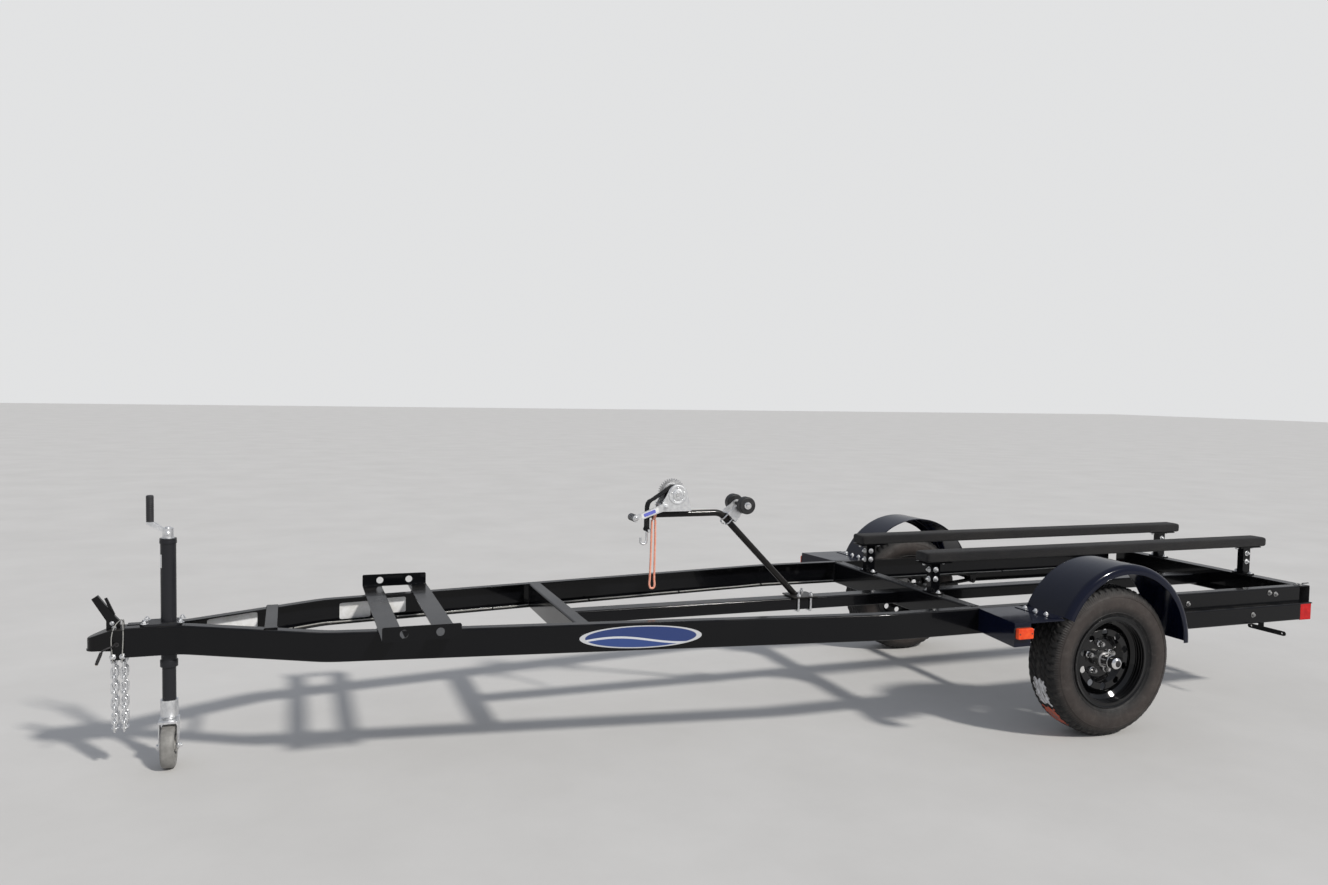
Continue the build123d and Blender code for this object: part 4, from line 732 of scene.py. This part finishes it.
scrap, tree, shader = finish("torn paper label", Roughness=0.7)
place = node(tree, "TexCoord").outputs["UV"]
torn = node(tree, "TexNoise", {"Vector": place, "Scale": 6.0, "Detail": 6.0}).outputs[0]
halves = spread(tree, axes(tree, "UV")[1], 0.49, 0.51)
inked = mixed(tree, halves, (0.62, 0.63, 0.66), (0.50, 0.085, 0.04))
paint(tree, shader, spread(tree, torn, 0.45, 0.62), inked, (0.16, 0.15, 0.15))
bump(tree, shader, torn, 0.0006, 0.6)
scraps, uvs = [], []
for first, last, band in ((12, 33, 0.0), (37, 57, 0.55)):
    s, t = np.meshgrid(np.linspace(0, 1, 26), np.linspace(0, 1, 18), indexing="ij")
    rough = 0.06 * np.sin(s * 17 + band * 9) + 0.05 * np.sin(s * 41 + 2)
    turns = -np.radians(first + (last - first) * (s + 0.05 * np.sin(t * 13 + band * 20)))
    widths = -744 + 76 * (0.08 + rough + (0.84 - 2 * rough) * t)
    scraps.append(curved((0, 0, wheel_z), (299.2, 300.5), turns, widths))
    uvs.append(np.tile(stacked(t, band + 0.4 * s).reshape(-1, 2), (2, 1)))
piece("tread_scraps", scraps, scrap, "wheel_left", uv=np.concatenate(uvs))

# Wheels: rolled steel rims in gloss black, chrome lug nuts and bearing caps, a rubber valve.
wheel_enamel = enamel("gloss black wheel enamel", (0.0030, 0.0030, 0.0035), 0.05, 0.02, 0.6, 1.7)
dress(pair("rim"), wheel_enamel)
dress(pair("hub"), dull_zinc)
lug = [
    lathe([(0, 0), (11.6, 0), (11.6, 13), (10.4, 16), (7, 21.5), (0, 23.5)], sides=6),
    lathe([(0, 0), (13, 0), (13, 2), (12, 3), (0, 3)], sides=28),
]
bearing_cap = lathe([
    (31.2, 0), (32.4, 1), (32.4, 6), (31, 8), (26.5, 8.5), (25.6, 11), (25.4, 62), (26.6, 63), (26.6, 70),
    (25.4, 71), (25.4, 86), (24.6, 93), (22, 98), (17, 101.5), (13, 102.6), (13, 100), (0, 100),
], sides=48)
rolled = lathe([
    (162.4, 68.3), (162.4, 71.5), (164, 73.8), (167, 73.4), (171, 72.5), (175, 72.7), (178, 74.2),
    (181, 75.6), (183.2, 74.6), (183.8, 72), (183, 70), (182.6, 68.3), (162.4, 68.3),
], sides=120)
plug = lathe([(0, 0), (12.6, 0), (12.4, 3), (8, 5), (3, 5.4), (2.4, 4.4), (0, 4.2)], sides=28)
valve = lathe([
    (0, 0), (8, 0), (7.4, 3), (4.4, 6), (4, 24), (4.6, 26), (4.6, 33), (3.6, 35), (0, 35),
], sides=18)
edge = np.linspace(0, 2 * np.pi, 9)
swages = [
    lathe(stacked(radius + 2.6 * np.cos(edge), depth + 3.4 * np.sin(edge)), sides=120)
    for radius, depth in ((161.7, 60), (161.2, 47), (160.8, 35))
]
lug_turns = np.radians(90 + 72 * np.arange(5))
lug_circle, valve_circle, valve_turn = 57.15, 138, 2.2
for name, side in hands:
    out, body = (0, side, 0), f"wheel_{name}"
    bright = stamp(lug, circle(0, wheel_z, lug_circle, lug_turns, side * 710), out)
    bright += stamp([bearing_cap], [(0, side * 708, wheel_z)], out)
    piece(f"wheel_bright_{name}", bright, chrome, body)
    lips = stamp([rolled, *swages], [(0, side * half_track, wheel_z)], out)
    piece(f"rim_lips_{name}", lips, wheel_enamel, body)
    at_valve = circle(0, wheel_z, valve_circle, valve_turn, side * 716)
    soft = stamp([plug], [(0, side * 807.6, wheel_z)], out)
    soft += stamp([valve], [at_valve], (-0.1, side, -0.15))
    piece(f"wheel_rubber_{name}", soft, black_rubber, body)

# Fenders and their step plates: rolled sheet with a hemmed edge, bolted down at the foot, and an
# amber lamp with a ribbed lens in a black bezel on each plate.
# The fender enamel's blue tint is a painted sky reflection; the fenders' own paint is gloss black like the
# frame.
fender_enamel_painted_sky_blue = enamel("blue black fender enamel", (0.0026, 0.0042, 0.0150), 0.08, 0.02, 0.8, 1.2)
dress([*pair("fender"), *pair("fender_stub")], fender_enamel_painted_sky_blue)


def lens(name, colours, patch, ribs, ways, depth, **sockets):
    """A moulded lens: a clouded colour under a clear face, with ribs to a metre along each of its ways."""
    made, tree, shader = finish(name, Coat_Roughness=0.05, **sockets)
    paint(tree, shader, clouds(tree, patch, 4, 0.35, 0.7), *colours)
    place = node(tree, "TexCoord").outputs["Object"]
    waves = [
        node(tree, "TexWave", {"Vector": place, "Scale": ribs, "Distortion": 0.0}, bands_direction=way)
        for way in ways
    ]
    relief = maths(tree, "ADD", waves[0].outputs[1], waves[1].outputs[1] if waves[1:] else 0.0)
    bump(tree, shader, relief, 0.0005, depth)
    return made


amber = lens(
    "orange red lens", ((0.78, 0.050, 0.008), (0.90, 0.095, 0.014)), 60, 90.0, "X", 0.7,
    Coat_Weight=0.3, Roughness=0.22, Specular_IOR_Level=0.2,
)
red = lens(
    "red lens", ((0.44, 0.002, 0.003), (0.60, 0.006, 0.007)), 50, 80.0, "XZ", 0.6,
    Coat_Weight=0.25, Roughness=0.2, Specular_IOR_Level=0.15,
)
dress(pair("side_lamp"), amber)
dress(pair("tail_lamp"), red)
hems, feet, bezels = [], [], []
arc = np.linspace(0.0, np.radians(155.6), 120)
rivet = lathe([(0, 0), (3, 0), (2.8, 1), (0.6, 1.4), (0, 1.4)], sides=16)
for side in (-1, 1):
    for radius, y, thick in ((324.5, 600, 2.2), (291.8, 828.6, 2.4)):
        path = circle(24, 366, radius, arc, side * y)
        hems.append(tube(path, thick, 10, guide=y_way))
    feet += stamp(bolt(7, 3), [(-306, side * y, 502.5) for y in (630, 690, 750)])
    bezels.append(plaque((-485, side * 835, 462), (-side, 0, 0), z_way, (39, 23.5), 4.5, 7)[0])
    bezels += stamp([rivet], [(x, side * 854.8, 462) for x in (-512, -458)], (0, side, 0))
piece("fender_hems", hems, fender_enamel_painted_sky_blue)
piece("fender_bolts", feet, zinc)
piece("lamp_bezels", bezels, black_rubber)

# Side bars, tail lamps and licence bracket: folded channel bolted outside the rails.
bolts, surrounds = [], []
places = [(420, 612, 394), (947, 612, 394), (605, 577, 455), (1084, 577, 478), (1122, 577, 470)]
for side in (-1, 1):
    bolts += stamp(bolt(8, 3), [(x, side * y, z) for x, y, z in places], (0, side, 0))
    for z in (425.6, 353.6):
        surrounds.append(plaque((1271, side * 594.6, z), x_way, y_way, (33, 17), 1.0, 12)[0])
bolts += stamp(bolt(7, 0), [(1285, side * y, 500) for side in (-1, 1) for y in (545, 565)])
piece("side_bolts", bolts, dull_zinc)
piece("tail_lamp_trim", surrounds, black_rubber)

# Bunks: planks wrapped in charcoal carpet, pulled round the edges, folded under at the ends and
# stapled along a seam below.
carpet, tree, shader = finish(
    "charcoal carpet", Roughness=0.95, Specular_IOR_Level=0.15, Sheen_Weight=0.1, Sheen_Roughness=0.6
)
tuft = noise(tree, 620, 4)
worn = times(tree, spread(tree, noise(tree, 6, 6, (0.6, 2, 2)), 0.4, 0.75), 0.5)
tone = mixed(tree, spread(tree, tuft, 0.35, 0.7), (0.006, 0.006, 0.0068), (0.026, 0.0255, 0.027))
paint(tree, shader, worn, tone, (0.038, 0.035, 0.032))
bump(tree, shader, tuft, 0.0016, 0.9)


bunk_y, bunk_length, bracket_places = 256, 1931, (-475.5, 1303)


def wrapped(side):
    """A plank's carpet: a rounded rectangle 95 by 45 along x, its top crowned 0.8 mm, with low waves
    sin(x/70) sin(x/23), drawn in by (1 - e)^2 towards each folded end, and a seam 1.6 mm deep below."""
    fold = np.array((0, 0.7, 2.2, 4.5, 8, 13, 20))
    run = np.concatenate((fold, np.linspace(30, bunk_length - 30, 300), bunk_length - fold[::-1]))
    turn = angles(48) + 0.04
    c, s = np.cos(turn), np.sin(turn)
    edge = stacked(np.sign(c) * np.abs(c) ** 0.36, np.sign(s) * np.abs(s) ** 0.36)
    end = np.clip(np.minimum(run, bunk_length - run) / 13, 0, 1)
    draw = (9 * (1 - np.sqrt(1 - (1 - end) ** 2)))[:, None]
    wave = (0.35 * np.sin(run / 70 + side) * np.sin(run / 23))[:, None] * (end[:, None] > 0.9)
    y = edge[:, 0] * (47.1 - draw) + wave * np.sign(c) * (np.abs(s) < 0.6)
    z = edge[:, 1] * (22.1 - draw * 0.8) + 0.3 * np.clip(s, 0, 1) * (end[:, None] > 0.9)
    seam = 1.6 * np.exp(-((edge[:, 0] * 47 - 6) / 3) ** 2) * (s < 0)
    return capped(stacked(run[:, None] - 538, side * bunk_y + y, 656.5 + z + seam))


staples, screws = [], []
for name, side in hands:
    middle = side * bunk_y
    piece(f"bunk_carpet_{name}", wrapped(side), carpet, replaces=[f"bunk_{name}"])
    for x in np.arange(-500, 1360, 62.0):
        if min(abs(x - place) for place in bracket_places) < 80:
            continue
        crown = [(x, middle + 1, 634.3), (x + 0.5, middle + 4, 633.7), (x, middle + 11, 634.3)]
        staples.append(tube(crown, 0.7, 6, guide=z_way))
    for x, way in zip(bracket_places, (-1, 1)):
        screws += stamp(bolt(8, 2), [(x + step, middle, 629) for step in (-48, 48)], (0, 0, -1))
        screws += stamp(bolt(8, 4), [(x, middle + y, 505) for y in (-38, 38)])
        for z in (600, 560):
            screws += stamp(bolt(8.5, 6), [(x + 22 * way, middle, z)], (way, 0, 0))
            screws += stamp(bolt(8.5, 6), [(x, middle - 16, z)], (0, -1, 0))
piece("bunk_staples", staples, zinc)
piece("bunk_bolts", screws, zinc)

# Winch post: a bent tube in dull grey black paint, held on the centre beam by zinc U-bolts.
post_paint = enamel("post enamel", (0.011, 0.010, 0.0095), 0.24, 0.4, 1.4)
dress(["winch_post"], post_paint)
dress(["post_u_bolts", "winch_frame", "roller_bracket", "winch_crank", "winch_hook"], zinc)
dress(["winch_drum"], zinc_plate("gear steel", (0.74, 0.74, 0.74), (0.45, 0.45, 0.46), 0.32, 2.0))
arm_z = 834
ring = np.linspace(0, 2 * np.pi, 40)
sunk = stacked(-1000 + 21 * np.cos(ring), 16 * np.sin(ring), 468)
arm_cap = lathe([(0, 0), (14.6, 0), (14.6, 2.5), (13.4, 4), (0, 4)], (-1667, 0, arm_z), (-1, 0, 0), 36)
piece("post_trim", [tube(sunk, 3.2, 8, guide=z_way), arm_cap], post_paint)

# Winch: a pressed zinc frame with a boss over the near bearing, rivets, a toothed gear behind, and
# a crank whose arm has a blank blue label and a grip turned inwards.
winch_x, winch_z, pinion_x, pinion_z, crank_y = -1559.0, 915.0, -1614.6, 868.3, -43
near = (0, -1, 0)
bosses = stamp([
    lathe([
        (9, 0), (38.5, 0), (39.5, 1), (39, 3), (34, 4), (31, 3), (24, 2.4), (21, 5.6), (14, 6.6), (12, 4.5),
        (9, 4.2),
    ], sides=56),
    lathe([(0, 0), (8.6, 0), (8.6, 6), (7.6, 7.4), (0, 7.8)], sides=24),
], [(winch_x, -34, winch_z)], near)
rivet = lathe([(0, 0), (3.4, 0), (3.2, 1.2), (1.6, 2.4), (0, 2.7)], sides=16)
rivet_turns = np.radians((20, 92, 164, 236, 308))
bosses += stamp([rivet], circle(winch_x, winch_z, 28.5, rivet_turns, -36.6), near)
bosses += stamp(bolt(8, 4), [(pinion_x, crank_y, pinion_z)], near)
bosses += stamp(bolt(7, 3), [(x, y, 851.5) for x in (-1600, -1518) for y in (-22, 22)])
bosses += stamp(bolt(7, 0), [(winch_x + 30, 34, winch_z - 46), (pinion_x, -crank_y, pinion_z)], y_way)
piece("winch_bosses", bosses, zinc)
crank_way = circle(0, 0, 1, np.radians(200))
crank_end = np.array((pinion_x, 0, pinion_z)) + 132 * crank_way


def crank_plate(along, out, half, thick, power):
    """A label's plate on the crank's arm, along it from the pinion and out from its near face."""
    place = np.array((pinion_x, crank_y - out, pinion_z)) + along * crank_way
    return plaque(place, -crank_way, np.cross(crank_way, y_way), half, thick, power)[0]


piece("crank_label", crank_plate(70, 0.1, (38, 9.5), 0.4, 12), label)
blue = surface(
    "blue violet label", ((0.11, 0.13, 0.55), (0.17, 0.19, 0.62)), (60, 5, 0.4, 0.7), Roughness=0.4
)
piece("crank_label_field", crank_plate(72, 0.5, (26, 7.0), 0.3, 14), blue)
ribs = [(0, 0), (13.6, 0), (14.6, 2)]
for low in 5 + 8 * np.arange(7):
    ribs += [(14.6, low), (13.8, low + 1), (13.8, low + 3), (14.6, low + 4)]
ribs += [(14.6, 62), (12.5, 65.4), (0, 66.4)]
grip = stamp([lathe(ribs, sides=36)], [crank_end + (0, -37.8, 0)], y_way)
piece("crank_grip", grip, grip_plastic)
cap = lathe([(0, 0), (9, 0), (8.6, 2.2), (6, 3.8), (0, 4.2)], sides=28)
piece("crank_cap", stamp([cap], [crank_end + (0, crank_y, 0)], near), chrome)

# Winch webbing: flat woven polyester wound on the drum, led over the arm's end and sewn round the
# hook's bar.
webbing, tree, shader = finish("black webbing", Roughness=0.8, Specular_IOR_Level=0.2)
u, v = axes(tree, "UV")[:2]
warp, weft = 0.0028, 0.0022
over = maths(tree, "SINE", times(tree, u, np.pi / warp), 0)
below = maths(tree, "SINE", times(tree, v, np.pi / weft), 0)
weave = spread(tree, times(tree, over, below), -1, 1)
tone = mixed(tree, weave, (0.005, 0.005, 0.0055), (0.018, 0.018, 0.019))
paint(tree, shader, clouds(tree, 25, 5, 0.5, 0.8, 0, 0.4), tone, (0.04, 0.037, 0.034))
bump(tree, shader, weave, 0.0005, 0.8)


def measured(line):
    """The distance along a line at each of its points."""
    return np.concatenate(([0], np.cumsum(np.linalg.norm(np.diff(line, axis=0), axis=1))))


def ribbon(line, steps, half, start=0):
    """Webbing 50 mm wide and twice half thick along a line of x and z, with its u and v in metres from
    start."""
    run = measured(line)
    line = stacked(*(np.interp(steps, run, line[:, i]) for i in (0, 1)))
    way = unit(np.gradient(line, axis=0))
    normal = stacked(way[:, 1], -way[:, 0])
    across = np.linspace(-25, 25, 9)
    faces = (line + off * normal for off in (half, -half))
    grids = [stacked(face[:, None, 0], across, face[:, None, 1]) for face in faces]
    uv = stacked(steps[:, None] + start, across).reshape(-1, 2) / 1000
    return slab(*grids), np.tile(uv, (2, 1))


turn = np.radians(122) - np.linspace(6.6 * 2 * np.pi, 0, 330)
grow = np.linspace(19.6, 35.6, 330)
spiral = circle(winch_x, winch_z, grow, turn)[:, ::2]
tail = [
    (-1655.5, 895), (-1667, 890), (-1675.5, 880), (-1679.4, 866), (-1679.8, 850), (-1679.8, 779),
]
line = np.concatenate((spiral, np.linspace(spiral[-1], tail[0], 24)[1:], tail[1:]))
strap, uv = ribbon(line, np.arange(0, measured(line)[-1], 3.2), 1.05)
line = np.array([
    (-1677.4, 838), (-1677.4, 782), (-1674.2, 775), (-1674, 769), (-1677, 765.3), (-1682, 765.3),
    (-1685.4, 769), (-1685.4, 775), (-1682, 781), (-1682, 838),
])
fold, fold_uv = ribbon(line, np.linspace(0, measured(line)[-1], 70), 1.0, 900)
piece(
    "strap_web", [strap, fold], webbing, uv=np.concatenate((uv, fold_uv)),
    replaces=["winch_strap"],
)
stitches = []
for x, out in ((-1683.1, -0.25), (-1676.3, 0.25)):
    for z in np.arange(790, 836, 5.0):
        for y in (-20, -7, 7, 20):
            loop = [(x, y - 1.6, z), (x + out, y, z + 0.6), (x, y + 1.6, z)]
            stitches.append(tube(loop, 0.55, 6, guide=z_way))
thread = surface("grey thread", ((0.16, 0.16, 0.15), (0.30, 0.29, 0.27)), (2000, 3, 0, 1), Roughness=0.8)
piece("strap_stitches", stitches, thread)

# Bow roller: two black rubber wheels on one pin, with bright push caps, clamped under the bend.
roller_rubber = rubber("roller rubber", (0.014, 0.014, 0.015), 0.45, 500)
dress(["bow_roller"], roller_rubber)
roll_x, roll_z = -1266.567, 868.4935
caps = []
for side in (-1, 1):
    caps += stamp([
        lathe([(8.1, 0), (15.5, 0), (16, 1), (14.5, 3.2), (11, 3.8), (8.1, 2.6)], sides=36),
        lathe([(0, 7), (9.2, 7), (9.4, 8), (8, 9.6), (0, 10.4)], sides=28),
        lathe([(8.1, 3.6), (10.8, 3.6), (10.8, 6.4), (8.1, 6.4)], sides=28),
    ], [(roll_x, side * 80, roll_z)], (0, side, 0))
piece("roller_caps", caps, chrome, "bow_roller")
post_way = np.array((-359, 0, 366)) / np.hypot(359, 366)
behind = np.array((post_way[2], 0, -post_way[0]))
clamp = np.array((-1356, 0, arm_z)) - post_way * 38
grab = []
arc = np.linspace(-np.pi / 2, np.pi / 2, 20)[:, None]
bow = 15.6
for step in (-16, 14):
    mid = clamp + post_way * step
    path = mid - bow * np.cos(arc) * behind + bow * np.sin(arc) * y_way
    ends = path[[0, -1]] + behind * 27
    grab.append(tube(np.concatenate((ends[:1], path, ends[1:])), 3.2, 10, guide=post_way))
    grab += stamp(bolt(6, 4), [mid + behind * 17.6 + y * y_way for y in (-bow, bow)], behind)
cap = lathe([(0, 0), (11, 0), (11.5, 1), (10.5, 5), (0, 6)], sides=28)
grab += stamp([cap], [clamp - behind * 19 + post_way * 2 - x_way], -behind)
piece("roller_clamp", grab, zinc)


# Tie rope: a plaited orange cord, twice round the arm's front end, its loop hanging below.
def plait(length, sides, radius, pitch, strands):
    """A plaited cord's radius: |sin sin| over turn and length, low where strands wound both ways cross."""
    turn = angles(sides)[None]
    wind = 2 * np.pi * length[:, None] / pitch
    cross = np.sin(strands * turn / 2 + wind) * np.sin(strands * turn / 2 - wind)
    return radius * (0.88 + 0.12 * np.abs(cross) ** 0.5)


rope_fibre = surface(
    "orange cord", ((0.83, 0.30, 0.19), (0.90, 0.47, 0.36)), (90, 5, 0.35, 0.7), (2600, 3, 0.0006, 0.7),
    Roughness=0.75, Sheen_Weight=0.3,
)
rope_x = -1650
rope_route = [(rope_x + x, y, z) for x, y, z in (
    (-8, 0, 810.9), (-10, -3, 735), (-9, 2, 665), (-12, -1, 605), (-13, 0, 567), (-15, 1, 545),
    (-10, 0, 530.5), (5, 0, 530.5), (9, -1, 545), (6, 1, 567), (8, 3, 605), (6, -2, 665), (9, 2, 735),
    (7, 0, 810.9),
)]
guide_curve = route_curve("rope_line", rope_route, 0.0, rope_fibre)
guide_curve.data.resolution_u = 40
bpy.context.view_layer.update()
line_mesh = bpy.data.meshes.new_from_object(guide_curve)
line = np.empty(len(line_mesh.vertices) * 3)
line_mesh.vertices.foreach_get("co", line)
line = line.reshape(-1, 3) * 1000 - (axle_x, 0, 0)
bpy.data.objects.remove(guide_curve)
plaited = plait(measured(line), 24, 4.5, 36.0, 8)
rope = piece(
    "rope_loop", tube(line, plaited, 24, guide=(0.05, 1.0, 0.02)), rope_fibre,
    replaces=["tie_rope_loop"],
)
turns = np.linspace(0, 4 * np.pi, 160)
round_arm = 18.3
wrap = stacked(
    rope_x - 4.5 + 9 * turns / (4 * np.pi), round_arm * np.sin(turns + np.pi),
    arm_z + round_arm * np.cos(turns + np.pi),
)
rope_turns = piece(
    "rope_turns", tube(wrap, plait(round_arm * turns, 24, 4.5, 36.0, 8), 24, guide=(1.0, 0.0, 0.05)),
    rope_fibre, replaces=["tie_rope_turns"],
)
